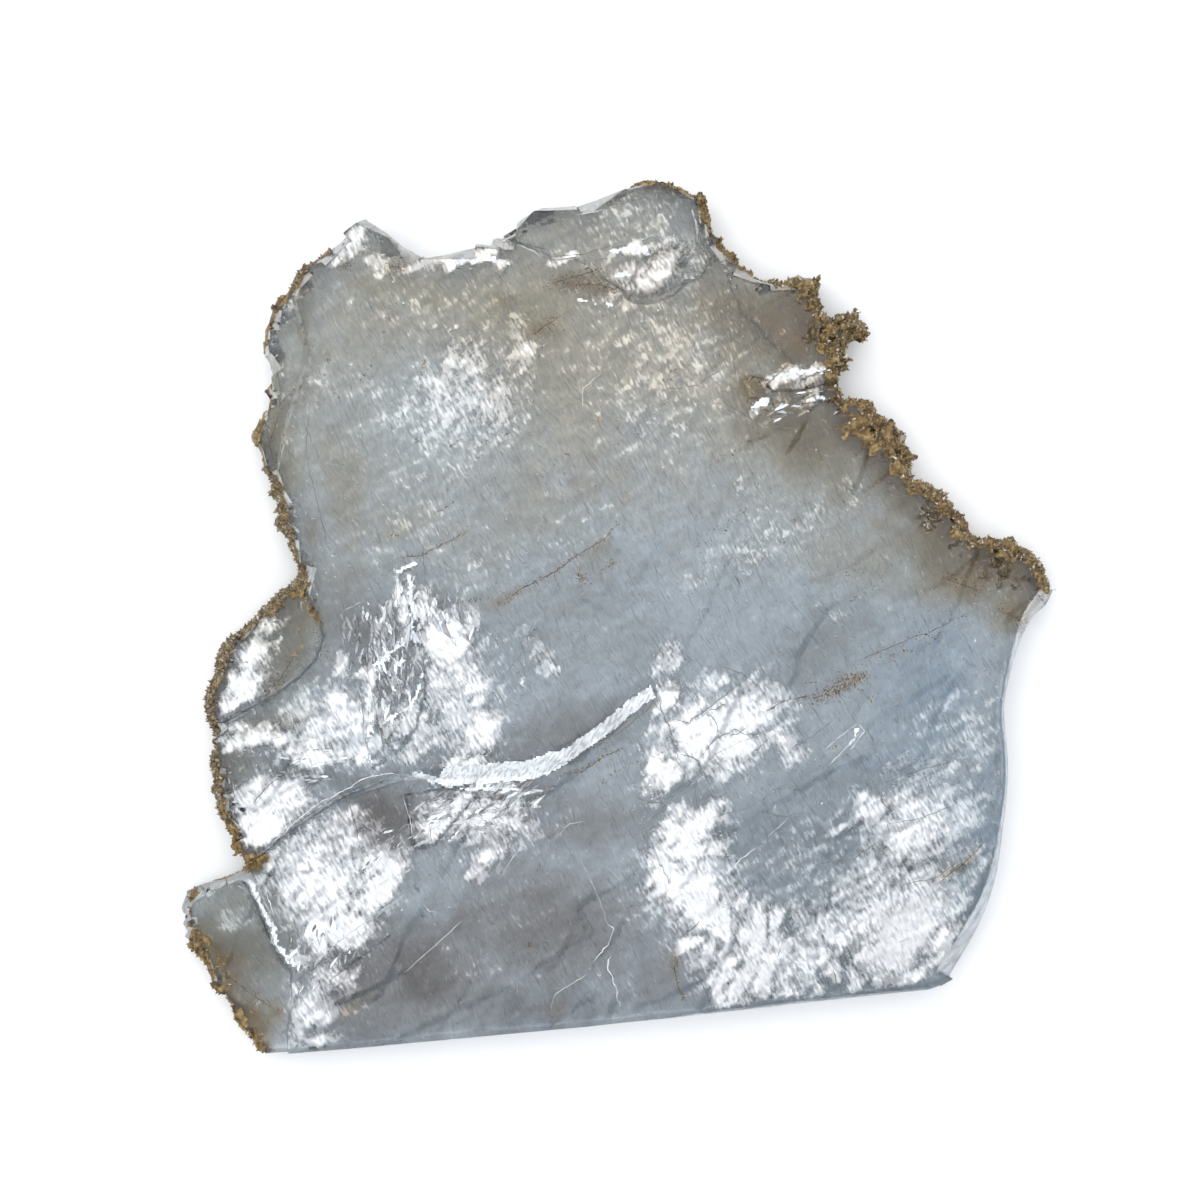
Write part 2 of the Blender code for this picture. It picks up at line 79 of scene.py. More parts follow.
def make_camera():
    data = bpy.data.cameras.new("camera")
    data.sensor_width = SENSOR
    data.lens = SENSOR * VIEW_HEIGHT / VIEW_WIDTH
    camera = link(bpy.data.objects.new("camera", data))
    camera.location = Vector((*VIEW_CENTRE, VIEW_HEIGHT + FACE)) * MM
    bpy.context.scene.camera = camera


def new_material(name):
    """A material with its node tree and its main shader."""
    material = bpy.data.materials.new(name)
    material.use_nodes = True
    return material, material.node_tree, material.node_tree.nodes["Principled BSDF"]


def make_floor():
    material, tree, shader = new_material("pale floor")
    shader.inputs["Base Color"].default_value = (0.86, 0.87, 0.88, 1)
    shader.inputs["Roughness"].default_value = 0.9
    bpy.ops.mesh.primitive_plane_add(size=FLOOR_SIZE, location=(0, 0, -FLOOR_GAP * MM))
    floor = bpy.context.object
    floor.name = "floor"
    floor.data.materials.append(material)


def make_light():
    """A pale room, and one wide soft light over the slab's upper left."""
    world = bpy.data.worlds.new("studio")
    world.use_nodes = True
    background = world.node_tree.nodes["Background"]
    background.inputs["Color"].default_value = (0.95, 0.97, 1.0, 1)
    background.inputs["Strength"].default_value = 1.0
    bpy.context.scene.world = world
    bpy.context.scene.view_settings.view_transform = "Standard"
    data = bpy.data.lights.new("overhead", "AREA")
    data.size = 1.6
    data.energy = 16.0
    light = link(bpy.data.objects.new("overhead", data))
    light.location = (-0.25, 0.3, 1.5)
    light.rotation_euler = (-light.location).to_track_quat("-Z", "Y").to_euler()


# ---------------------------------------------------------------- soft patches and broken lines
# A patch is (right, up, along, across, turn, strength): its centre and half lengths in millimetres,
# the direction of its fibres in degrees, and how full it is at its middle.

LOWER_LEFT_VEILS = [
    (-106, -55, 9, 8, 40, 1), (-109, -63, 8, 5, 50, 1), (-100, -53, 8, 6, 20, 1), (-104, -64, 9, 4, 42, 1),
    (-96, -58, 6, 4, 30, 0.75), (-88, -70, 15, 8, 30, 0.62), (-95, -80, 12, 7, 35, 0.6),
    (-80, -60, 5, 3, 20, 0.8), (-80, -66, 5, 3, 30, 0.7), (-74, -74, 5, 4, 50, 0.9),
    (-71, -80, 14, 5, 62, 1), (-84, -86, 11, 6, 40, 0.75), (-89.5, -93, 11, 4, 88, 1),
    (-81, -95, 8, 5, 30, 0.95), (-98, -86, 8, 4, -60, 0.6), (-96, -103, 5, 3, 0, 0.6),
    (-82, -109, 6, 5, 20, 0.75), (-92, -117, 6, 4, 60, 0.7), (-88, -117, 4, 4, 40, 0.7),
    (-97, -124, 7, 3, 80, 0.6), (-90, -127, 6, 3, 20, 0.8), (-84, -128, 3, 2, 10, 0.6),
    (-98, -115, 4, 0.8, 88, 0.8)
]
LEFT_LOBE_VEILS = [
    (-104, -2, 5, 2.5, 40, 0.85), (-108, -11, 7, 4, 60, 0.9), (-102, -8, 4, 2, 60, 0.7),
    (-113, -21, 7, 4, 35, 1), (-115, -26, 6, 3, 25, 1), (-107, -20, 4, 3, 20, 0.7),
    (-106, -37, 16, 4, 3, 0.8), (-92, -41, 8, 4, -15, 0.8), (-108, -33, 9, 2, 8, 0.6),
    (-84, -27, 5, 3, 85, 0.75), (-83, -15, 5, 2, 70, 0.6), (-90, -36, 6, 3, 30, 0.6),
    (-75, -17, 6, 2.5, 20, 0.8), (-73, -25, 11, 2.2, 88, 0.7), (-75, -42, 3, 2, 20, 1)
]
MIDDLE_LEFT_VEILS = [
    (-50, -8, 11, 8, 100, 1), (-56, 1, 7, 4, 100, 0.75), (-53, -20, 9, 5, 110, 0.6),
    (-43, -20, 9, 4, 105, 0.7), (-40, -33, 7, 5, 80, 0.95), (-47, -42, 9, 3.5, 10, 1),
    (-60, -35, 12, 6, 80, 0.5), (-44, 0, 6, 5, 90, 0.5), (-63, 5, 9, 2, 95, 0.6),
    (-22, -12, 6, 4, 120, 0.4), (-28, -6, 5, 3, 120, 0.4), (-28, -18, 3, 1, 120, 0.8),
    (-45, -58, 14, 5, 10, 0.7), (-53, -62, 8, 3.5, 35, 0.9), (-35, -61, 7, 3, -10, 0.8),
    (-30, -62, 4, 2, -15, 1), (-38, -70, 8, 6, 60, 0.65), (-42, -78, 4, 4, 60, 0.6)
]
CENTRE_VEILS = [
    (16, -23, 5, 4, 40, 0.85), (24, -34, 8, 6, 30, 1), (36, -39, 11, 5, 25, 0.95),
    (36, -27, 11, 5, 25, 0.75), (14, -48, 8, 6, 40, 1), (34, -19, 3, 2, 30, 0.9), (17, -12, 7, 5, 60, 0.5),
    (27, -46, 5, 3, 40, 0.6), (48, -34, 4, 3, 40, 0.7), (52, -38, 6, 5, 60, 0.45),
    (12, -33, 5, 2.5, 30, 0.5)
]
LOWER_MIDDLE_VEILS = [
    (22, -62, 12, 6, 25, 0.95), (24, -70, 12, 5, 10, 0.95), (16, -80, 12, 6, 110, 1),
    (24, -84, 12, 7, 115, 1), (28, -90, 9, 5, 100, 0.85), (33.5, -92, 10, 1.8, 95, 0.9),
    (37, -86, 6, 2.5, 110, 0.6), (41, -97, 12, 2.6, 82, 0.95), (47, -95, 10, 2.6, 95, 0.95),
    (33, -103, 10, 2.6, 75, 0.9), (38, -108, 9, 4, 75, 0.85), (45, -107, 9, 4, 70, 1),
    (31, -111, 6, 3, 80, 0.9), (22, -98, 4, 2.5, 20, 0.9), (27, -100, 5, 3, 60, 0.7),
    (36, -114, 6, 2, 10, 0.7), (52, -112, 4, 3, 60, 0.8), (60, -112, 4, 2.5, 110, 0.9),
    (62, -104, 9, 3, 115, 0.8), (57, -93, 12, 4, 115, 0.6), (65, -94, 12, 4, 110, 0.65),
    (54, -100, 5, 2, 115, 0.6)
]
LOWER_RIGHT_VEILS = [
    (78, -57, 7, 4.5, 60, 0.85), (86, -56, 7, 3, 0, 0.8), (88, -68, 10, 6, 10, 0.75),
    (97, -62, 6, 3, 20, 0.45), (82, -64, 8, 5, 110, 0.6), (88, -76, 12, 3, 0, 0.65),
    (85, -97, 13, 11, 30, 1), (92, -84, 10, 6, 30, 0.85), (80, -88, 8, 5, 30, 0.85),
    (97, -99, 7, 5, 50, 0.95), (76, -103, 8, 6, 110, 0.9), (74, -82, 6, 4, 60, 0.6),
    (66, -83, 6, 4, 60, 0.5), (67, -63, 4, 1.8, 20, 0.85), (70, -97, 9, 3, 120, 0.6),
    (85, -109, 9, 3, 10, 0.8), (76, -71, 6, 3, 120, 0.5), (70, -109, 7, 3, 110, 0.7),
    (95, -46, 13, 5, 15, 0.3), (84, -44, 6, 3, 30, 0.3)
]
UPPER_VEILS = [
    (-79, 112, 8, 4, 45, 0.6), (-70, 107, 6, 3.5, -20, 0.55), (-48, 109, 13, 3, 6, 0.85),
    (-58, 106, 6, 2, -10, 0.5), (-46, 108, 11, 2.5, 8, 0.75), (-36, 106, 5, 3, 30, 0.5),
    (-60, 105, 4, 1.5, 0, 0.5), (-47, 75, 13, 9, 40, 0.42), (-38, 66, 11, 8, 60, 0.5),
    (-25, 78, 7, 4, 30, 0.5), (-52, 86, 4, 1, 0, 0.7), (13, 105, 11, 6, 40, 0.7),
    (4, 109.5, 7, 1.8, 14, 0.95), (-17, 107.5, 4, 1.3, 8, 0.9), (-30, 88, 8, 4, 110, 0.4),
    (18, 72, 6, 3, 30, 0.35), (6, 56, 5, 2, 120, 0.35), (18, 58, 4, 2, 30, 0.4), (43, 62, 4, 2.5, 50, 0.5),
    (50, 72, 6, 3, 30, 0.9), (58, 73, 5, 2, 25, 1), (64, 74, 4, 1.8, 20, 0.85),
    (59, 65.5, 5, 1.8, 10, 0.85), (40, 19, 9, 7, 60, 0.3), (24, 12, 7, 4, 30, 0.2),
    (58, 31, 8, 5, 30, 0.25), (65, 2, 6, 3, 110, 0.25), (-96, 96, 5, 2, 60, 0.4), (-103, 94, 4, 2, 40, 0.5),
    (40, 42, 8, 5, 30, 0.25), (70, 38, 8, 5, -20, 0.2)
]
VEILS = (LOWER_LEFT_VEILS + LEFT_LOBE_VEILS + MIDDLE_LEFT_VEILS + CENTRE_VEILS + LOWER_MIDDLE_VEILS
         + LOWER_RIGHT_VEILS + UPPER_VEILS)

# Wide soft glows round the veils, as patches.
SHEENS = [
    (-84, -31, 12, 20, 80, 0.62), (-74, -38, 16, 10, 20, 0.5), (8, 98, 26, 10, 10, 0.22),
    (98, -98, 14, 9, 20, 0.5), (104, -84, 9, 8, 60, 0.45), (36, -92, 16, 8, 30, 0.45),
    (-114, -92, 9, 5, 15, 0.34), (-108, -110, 8, 8, 40, 0.16), (-88, -78, 24, 24, 40, 0.66),
    (-106, -58, 16, 14, 30, 0.6), (-90, -40, 24, 9, -8, 0.5), (-48, -24, 16, 30, 8, 0.45),
    (-42, -62, 26, 12, 0, 0.45), (31, -34, 25, 15, 25, 0.85), (24, -80, 18, 22, 0, 0.64),
    (44, -104, 26, 14, 0, 0.68), (84, -90, 27, 24, 0, 0.78), (90, -62, 25, 15, 20, 0.62),
    (-46, 66, 34, 24, 40, 0.36), (10, 103, 20, 10, 30, 0.46), (-45, 14, 26, 10, 10, 0.18),
    (46, 24, 26, 12, 30, 0.26), (-108, -16, 8, 12, 30, 0.4), (106, -34, 14, 24, 80, 0.28),
    (60, 68, 14, 6, 20, 0.4), (-10, 28, 30, 16, 60, 0.12), (-42, -104, 14, 10, 60, 0.16),
    (-26, -88, 16, 20, 60, 0.08), (-86, -114, 14, 12, 60, 0.36), (16, 76, 34, 30, 30, 0.28),
    (2, 118, 26, 10, 20, 0.26), (-84, 70, 8, 30, 90, 0.2), (112, -74, 10, 28, 80, 0.34),
    (56, -72, 22, 14, 30, 0.28), (-60, 30, 26, 14, 20, 0.18), (-60, 95, 34, 10, 0, 0.2)
]

# Plain smooth strips along the rims, where no veil reaches: (half width, raggedness, points).
RIM_STRIPS = [
    (1.6, 0.4, [(131, 9), (124, -1), (118, -19), (116.5, -37), (116, -55), (114, -76)]),
    (4.4, 0.5, [(114, -78), (109, -92), (101, -108), (98, -111)]),
    (2.6, 1.6, [(44, -117), (60, -115.5), (76, -114), (92, -112), (100, -111)]),
    (1.6, 0.7, [(-104, -131), (-60, -128), (-10, -122.5), (44, -118)])
]

# Cracks that run through the veils and plates, each a line of (right, up) points.
CRACKS = [
    [(11, -19), (14, -28.5), (16.5, -34), (20, -46)],
    [(16, -30), (22, -31.5), (27, -27.5), (32, -23.5), (37, -20)], [(21, -21), (16, -28)],
    [(26.5, -28), (29.5, -31), (31, -35.5)], [(28, -28), (33, -26)],
    [(25, -42), (30, -36), (36, -33.5), (40, -35), (47, -33.5)],
    [(18, -40), (24, -42.5), (26, -47), (30, -53)], [(20, -40), (24.5, -43.5), (28.5, -50)],
    [(46, -36), (41, -41)], [(5, -54), (11, -55.5), (15, -56), (9, -63), (5, -66)],
    [(15, -55), (21, -51), (25, -46.5)], [(12, -72), (14.5, -75.5), (16, -80)],
    [(76.5, -47), (80, -55), (84, -61.5)], [(39, -33), (34, -36)]
]

# A stroke is (half width, sway to either side, points).
GREY_STROKES = [(0.17, 0.8, line) for line in CRACKS] + [
    (0.3, 0.5, [(-25, -47), (-15, -43), (-8, -39), (0, -35), (8, -29), (11.5, -25), (14, -29)]),
    (0.16, 0.4, [(-53, -48), (-45, -46.6), (-40, -44.6), (-32, -44.1), (-25, -43.6), (-18, -40.6),
     (-12, -36.6), (-6, -32.6), (0, -27.6), (6, -22.6), (11, -19)]),
    (0.22, 0.4, [(-108, -73), (-100, -66), (-95, -61), (-88, -56), (-82, -53), (-75, -49), (-68, -47.5)]),
    (0.2, 0.4, [(-82, -50), (-77, -68)]), (0.18, 0.4, [(-96, -44), (-104, -50), (-110, -57)]),
    (0.25, 0.5, [(21, -95), (25, -91)]), (0.18, 0.4, [(65, -105), (66, -109), (68, -112)]),
    (0.3, 0.5, [(-114, -53), (-115, -55), (-112.5, -56)]), (0.16, 0.5, [(45, -58), (50, -60), (57, -58)]),
    (0.2, 0.4, [(-36, 115), (-30, 112.5), (-24, 110.5), (-22, 108)]),
    (0.18, 0.3, [(-77, -22), (-76, -27), (-75.5, -33)]), (0.2, 0.5, [(-100, -8), (-95, -14), (-91, -20)]),
    (0.14, 0.4, [(30, -14), (36, -16), (43, -20), (46, -26)]),
    (0.14, 0.5, [(52, -40), (58, -36), (66, -30)]), (0.13, 0.5, [(78, -50), (90, -46), (104, -42)]),
    (0.12, 0.4, [(80, -62), (92, -60), (102, -56)]), (0.14, 0.5, [(60, -74), (72, -72), (80, -66)]),
    (0.14, 0.5, [(86, -80), (96, -78), (104, -72)]), (0.13, 0.5, [(28, -60), (40, -57), (50, -50)]),
    (0.12, 0.5, [(-34, -18), (-28, -10), (-24, 0)]), (0.12, 0.4, [(70, -40), (60, -48), (52, -52)]),
    (0.15, 0.4, [(90, 38), (92, 35), (94, 33)]), (0.13, 0.4, [(-62, 27), (-58, 21), (-57, 10), (-56, 4)]),
    (0.12, 0.4, [(-66, 14), (-67, 2), (-67, -6)]), (0.13, 0.5, [(-20, 108), (-10, 109), (0, 112)]),
    (0.13, 0.5, [(34, 76), (24, 70), (12, 68)]), (0.14, 0.5, [(-92, 66), (-93, 50), (-90, 36), (-86, 20)]),
    (0.14, 0.5, [(30, 66), (44, 58), (60, 56)]), (0.12, 0.4, [(-30, -50), (-26, -58), (-24, -64)]),
    (0.12, 0.4, [(-52, -54), (-56, -62), (-55, -70)])
]
WHITE_STROKES = [
    (0.34, 0.7, [(-2.5, -92), (-0.5, -93), (-1.5, -97), (-4, -100), (-7, -103.5)]),
    (0.36, 0.8, [(-1.5, -101), (-2.5, -105), (-0.5, -110), (1.5, -117)]),
    (0.2, 0.4, [(-8, -107), (-13, -110), (-18, -113), (-20, -118)]),
    (0.3, 0.6, [(-58, -86), (-56, -88.5), (-54, -89)]), (0.14, 0.3, [(-65, -108), (-55, -99), (-45, -90)]),
    (0.16, 0.3, [(-100, -110), (-80, -95), (-60, -80)]), (0.16, 0.3, [(-75, -92), (-62, -82)]),
    (0.4, 0.3, [(35, -75), (38, -72), (42, -69)]), (0.14, 0.3, [(45, -70), (46, -76)]),
    (0.14, 0.3, [(45, -66), (52, -60)]), (0.4, 0.4, [(33, -83), (36, -88)]),
    (0.3, 0.4, [(52, -104), (56, -108)]), (0.35, 0.3, [(72.5, -31.5), (74.5, -34), (70, -40)]),
    (0.2, 0.3, [(62, -40), (73, -31)]), (0.25, 0.3, [(64, -44), (74, -34)]),
    (0.4, 0.5, [(-106, -80), (-103, -90)]), (0.5, 0.5, [(-98, -112), (-98, -118)]),
    (0.32, 0.6, [(-108, -72), (-100, -65), (-95, -60), (-88, -55), (-82, -52), (-75, -48), (-68, -46.5),
     (-60, -48)]), (0.3, 0.3, [(-64, -54), (-62, -60), (-61, -66)]),
    (0.3, 0.5, [(-74, -18), (-73.5, -27), (-74, -36)]), (0.3, 0.5, [(-66, 12), (-65, 5), (-64, -2)]),
    (0.26, 0.4, [(-62, 12), (-61.5, 5), (-61, -2)]), (0.14, 0.2, [(-60, 9), (-57.5, 7)]),
    (0.14, 0.2, [(-60.3, 7), (-57.8, 5)]), (0.3, 0.4, [(-64, -9), (-64.4, -18)]),
    (0.25, 0.4, [(-61, -12), (-61.2, -20)]), (0.4, 0.5, [(-75, -16), (-72, -13.5), (-70, -12)]),
    (0.25, 0.3, [(-82, -11), (-81.5, -14), (-80, -16), (-79, -13)]), (0.3, 0.5, [(-82, -34), (-79, -35)]),
    (0.32, 0.5, [(-100, -27), (-97.5, -29), (-97, -33)]), (0.13, 0.3, [(-80, -4), (-75, 0)]),
    (0.13, 0.3, [(-82, 2), (-76, 5)]), (0.2, 0.5, [(-69, -8), (-66, -14), (-68, -20)]),
    (0.2, 0.5, [(-58, -5), (-60, -12), (-57, -18)]), (0.2, 0.4, [(-10, 63), (-10, 69), (-5, 73)]),
    (0.26, 0.5, [(-36, 114.4), (-30, 112), (-24, 110), (-22, 107.5)]),
    (0.2, 0.4, [(5, 112), (12, 115), (20, 112)]), (0.16, 0.4, [(12, -31), (17, -36), (22, -38)]),
    (0.15, 0.5, [(-84, -58), (-76, -62), (-70, -66)]), (0.2, 0.5, [(56, 66), (62, 68), (66, 72)]),
    (0.2, 0.5, [(43, 70), (49, 74), (56, 76)]), (0.3, 0.5, [(47, 103), (48, 101)]),
    (0.3, 0.5, [(54, 100), (55, 98.5)]), (0.12, 0.4, [(-12, -70), (-6, -82), (-2, -94)]),
    (0.12, 0.4, [(-36, -80), (-31, -72), (-26, -66)]), (0.12, 0.5, [(-18, -66), (-14, -62), (-8, -61)])
]

# White skins over broken strips: (half width, raggedness, points).
FROST_BANDS = [
    (3.3, 0.35, [(-50, -47.5), (-45, -47.2), (-38, -46.6), (-32, -46.2), (-25, -45.4), (-19, -43)]),
    (2.3, 0.3, [(-21, -44), (-17, -42.6), (-11, -38.6), (-5, -34.6), (1, -29.6), (7, -24.6),
     (11.5, -21.8)]), (0.9, 0.8, [(-45, -51.5), (-36, -51), (-28, -51.8)]),
    (1.3, 0.9, [(-60, -47), (-55, -48.5), (-50, -50)]),
    (1.2, 0.7, [(-110, -80), (-106, -89), (-103, -93), (-103, -98), (-100, -101), (-97, -104)]),
    (0.9, 0.3, [(-65.6, 13.8), (-60.4, 16.3)]), (0.8, 0.8, [(-62, 12), (-61, 4), (-61.5, -3)]),
    (0.7, 0.8, [(-70, -31), (-66, -29), (-61, -26), (-59, -20), (-57, -13)]),
    (1.1, 0.9, [(-75, -41), (-73, -43)]), (0.8, 0.8, [(-74, -20), (-73.5, -28), (-74, -35)]),
    (0.9, 0.8, [(-72, -14), (-66, -9), (-63, -6)]), (0.8, 0.9, [(-68, -17), (-63, -12)]),
    (0.7, 0.6, [(72.8, -32.5), (70.5, -38)]), (1.6, 0.8, [(42, 63), (44.5, 65)]),
    (1, 0.9, [(-86, -95), (-81, -100)]), (1.3, 0.8, [(0.5, 102.5), (3, 102.8)]),
    (0.9, 0.9, [(-47, 107), (-38, 108), (-32, 106)]), (0.9, 0.8, [(-2, 109.6), (4, 110.4), (10, 109)]),
    (0.8, 0.8, [(49, 72), (57, 74), (65, 74.5)]), (0.8, 0.9, [(56, 65), (62, 66)]),
    (0.7, 0.7, [(-11, 95.6), (-9, 95.4)]), (0.6, 0.6, [(-6, 94.5), (-5, 94.4)]),
    (0.7, 0.6, [(-2.6, 94), (-1.4, 94)])
]

# Lines of rusty grains: (how far the grains stray, grains, points).
RUST_LINES = [
    (0.35, 60, [(71, -13.5), (77, -11), (84, -8), (90, -5.5), (95, -4), (102, 0), (106, 1)]),
    (1, 40, [(90, -6), (95, -6), (98, -4)]), (0.3, 22, [(79, -12), (83, -10.5), (83.5, -13)]),
    (0.4, 20, [(85, -10), (90, -10)]), (1.3, 520, [(59, -24), (66, -22), (70, -20), (74, -17.5)]),
    (0.7, 50, [(72, -17.8), (74, -17.2)]), (0.7, 40, [(67, -19), (69, -18)]),
    (0.4, 60, [(45, -28), (50, -25), (55, -24), (58, -23)]), (0.25, 16, [(55, -19.5), (60, -19)]),
    (0.3, 6, [(67, -16.3), (67.6, -16.3)]),
    (0.4, 34, [(82.5, 16), (80, 12), (77.5, 9), (74, 6.5), (70, 5)]), (0.3, 16, [(68, 12.5), (72, 15)]),
    (0.6, 18, [(76, -24.5), (78, -24.5)]), (0.35, 70, [(-65, 18), (-58, 19), (-50, 23), (-45, 26)]),
    (0.4, 200, [(-36, 4.5), (-32, 6), (-28, 9), (-24, 11), (-18, 14), (-13, 18), (-8, 21), (-3, 24),
     (1, 29)]), (0.9, 60, [(-12, 13), (-8, 11)]), (0.7, 50, [(-5, 14), (0, 17)]),
    (0.3, 24, [(-47, 5), (-38, 6)]), (0.4, 8, [(-42.7, 5.5), (-42.2, 5.5)]),
    (0.4, 10, [(-63, 27), (-62, 27)]), (0.4, 8, [(-67, 25), (-66, 25)]), (0.4, 20, [(-55, 31), (-48, 35)]),
    (0.4, 8, [(-60, 53), (-59, 53)]), (0.3, 14, [(-50, 51.5), (-47, 53)]), (0.4, 8, [(-39, 53), (-38, 53)]),
    (0.6, 16, [(-33, 55), (-32, 56)]), (0.4, 8, [(-42, 48), (-41, 48)]), (0.3, 14, [(-59, 73), (-57, 77)]),
    (0.3, 10, [(-85, 69), (-83, 66)]), (0.4, 8, [(-26, 65), (-25, 65)]), (0.4, 8, [(-33, 66), (-32, 66)]),
    (0.4, 10, [(-87, 77), (-86, 77)]), (0.3, 16, [(-10, 59), (-4, 59.5)]), (0.4, 8, [(14, 64), (15, 64)]),
    (0.3, 12, [(16, 74), (19, 75)]), (0.4, 8, [(-15, 49), (-14, 49)]), (0.5, 10, [(53, 29), (54, 29)]),
    (0.5, 8, [(50, 23), (51, 23)]), (0.5, 8, [(32, 26), (33, 26)]), (0.5, 8, [(44, 19), (45, 19)]),
    (0.45, 90, [(-16, -47), (-10, -46), (-4, -42), (2, -39)]),
    (0.5, 50, [(-4, -50), (0, -46.5), (5, -44), (12, -42), (15, -39)]),
    (0.35, 60, [(17, -100), (18.5, -103), (17.5, -105), (18.5, -110), (20.5, -115)]),
    (0.4, 8, [(98.2, -89), (98.8, -89)]), (0.4, 8, [(65.3, -38.5), (65.7, -38.5)]),
    (0.5, 10, [(-26.3, -98), (-25.7, -98)]), (0.9, 150, [(-20, 100), (-14, 102), (-7, 104), (-4, 103)]),
    (0.8, 110, [(-15, 100), (-5, 100), (2, 98)]), (1.2, 70, [(-25, 85), (-21, 88), (-17, 90)]),
    (1.4, 60, [(-68, 105), (-64, 106)]), (1, 30, [(-83, 106), (-80, 106)]),
    (0.7, 30, [(38, 71), (42, 72), (46, 70)]), (0.7, 30, [(45, 67), (42, 64), (39, 66)]),
    (1.5, 90, [(98, 12), (104, 10), (110, 8)]), (1.4, 70, [(115, 2), (120, 0), (123, -2)]),
    (1, 60, [(96, -80), (104, -74), (111, -67)]), (1.2, 60, [(-118, -108), (-110, -114), (-104, -118)]),
    (1.2, 60, [(-101, 62), (-104, 53), (-103, 47)]), (0.8, 20, [(-93, 86), (-93, 81)]),
    (1, 60, [(-96, -10), (-101, -18), (-106, -24)]), (1, 60, [(-99, -2), (-104, 2), (-110, -2)]),
    (0.8, 40, [(-92, -4), (-88, -9), (-86, -13)]), (0.8, 40, [(24, 20), (30, 28), (40, 33)]),
    (0.6, 30, [(-78, 70), (-70, 80), (-68, 92)]), (0.6, 30, [(28, 46), (38, 52), (48, 60)])
]

# The rust lines that are full enough to show as strokes too.
RUST_STROKES = [(0.08, 0.3, line) for _, count, line in RUST_LINES if count >= 60]

# Loose broken plates, as patches.
SHARD_PATCHES = [
    (-62, -2, 7, 20, 95, 1.0), (-70, -20, 16, 8, 95, 0.8), (-42, -57, 22, 8, 20, 1.0),
    (-92, -44, 14, 6, 10, 0.4), (-70, -72, 10, 8, 35, 0.4), (-90, -100, 12, 10, 70, 0.5),
    (52, 66, 12, 6, 20, 0.5), (-62, 4, 8, 6, 80, 0.7)
]

LAYER_STEP = 10.3     # between two layers of noise, so that they look nothing alike


def turned(x, y, turn):
    """The places along and across a direction."""
    cos, sin = math.cos(math.radians(turn)), math.sin(math.radians(turn))
    return x * cos + y * sin, y * cos - x * sin


def noise_at(x, y, along, across, turn, layer):
    """Smooth noise from -1 to 1, its lumps stretched along the turn, at each point."""
    u, v = turned(x, y, turn)
    places = zip(u / along, v / across)
    return np.array([noise.noise(Vector((a, b, LAYER_STEP * layer))) for a, b in places])


def torn(x, y):
    """Places shifted by a few millimetres, so that patches laid over them get broken outlines."""
    return (x + 3.5 * noise_at(x, y, 13, 9, 60, 51) + 2.0 * noise_at(x, y, 4, 2.4, 60, 52),
            y + 3.5 * noise_at(x, y, 13, 9, 60, 53) + 2.0 * noise_at(x, y, 4, 2.4, 60, 54))


def patch_cover(x, y, patches, wobble=0.0, soft=0.55):
    """How full each point is, from 0 to 1, and the fibre direction of the fullest patch there."""
    cover = np.zeros(len(x))
    fibre = np.full(len(x), 60.0)
    for right, up, along, across, turn, strength in patches:
        u, v = turned(x - right, y - up, turn)
        here = strength * np.clip((1.2 - np.hypot(u / along, v / across) - wobble) / soft, 0, 1)
        fibre = np.where(here > cover, turn, fibre)
        cover = np.maximum(cover, here)
    return cover, fibre


def line_distance(x, y, line):
    """The distance from each point to a broken line."""
    nearest = np.full(len(x), np.inf)
    for (x0, y0), (x1, y1) in zip(line, line[1:]):
        dx, dy = x1 - x0, y1 - y0
        share = np.clip(((x - x0) * dx + (y - y0) * dy) / (dx * dx + dy * dy), 0, 1)
        nearest = np.minimum(nearest, np.hypot(x - x0 - share * dx, y - y0 - share * dy))
    return nearest


def near_lines(x, y, lines):
    """The distance from each point to the nearest of the lines."""
    return np.min([line_distance(x, y, line) for line in lines], axis=0)
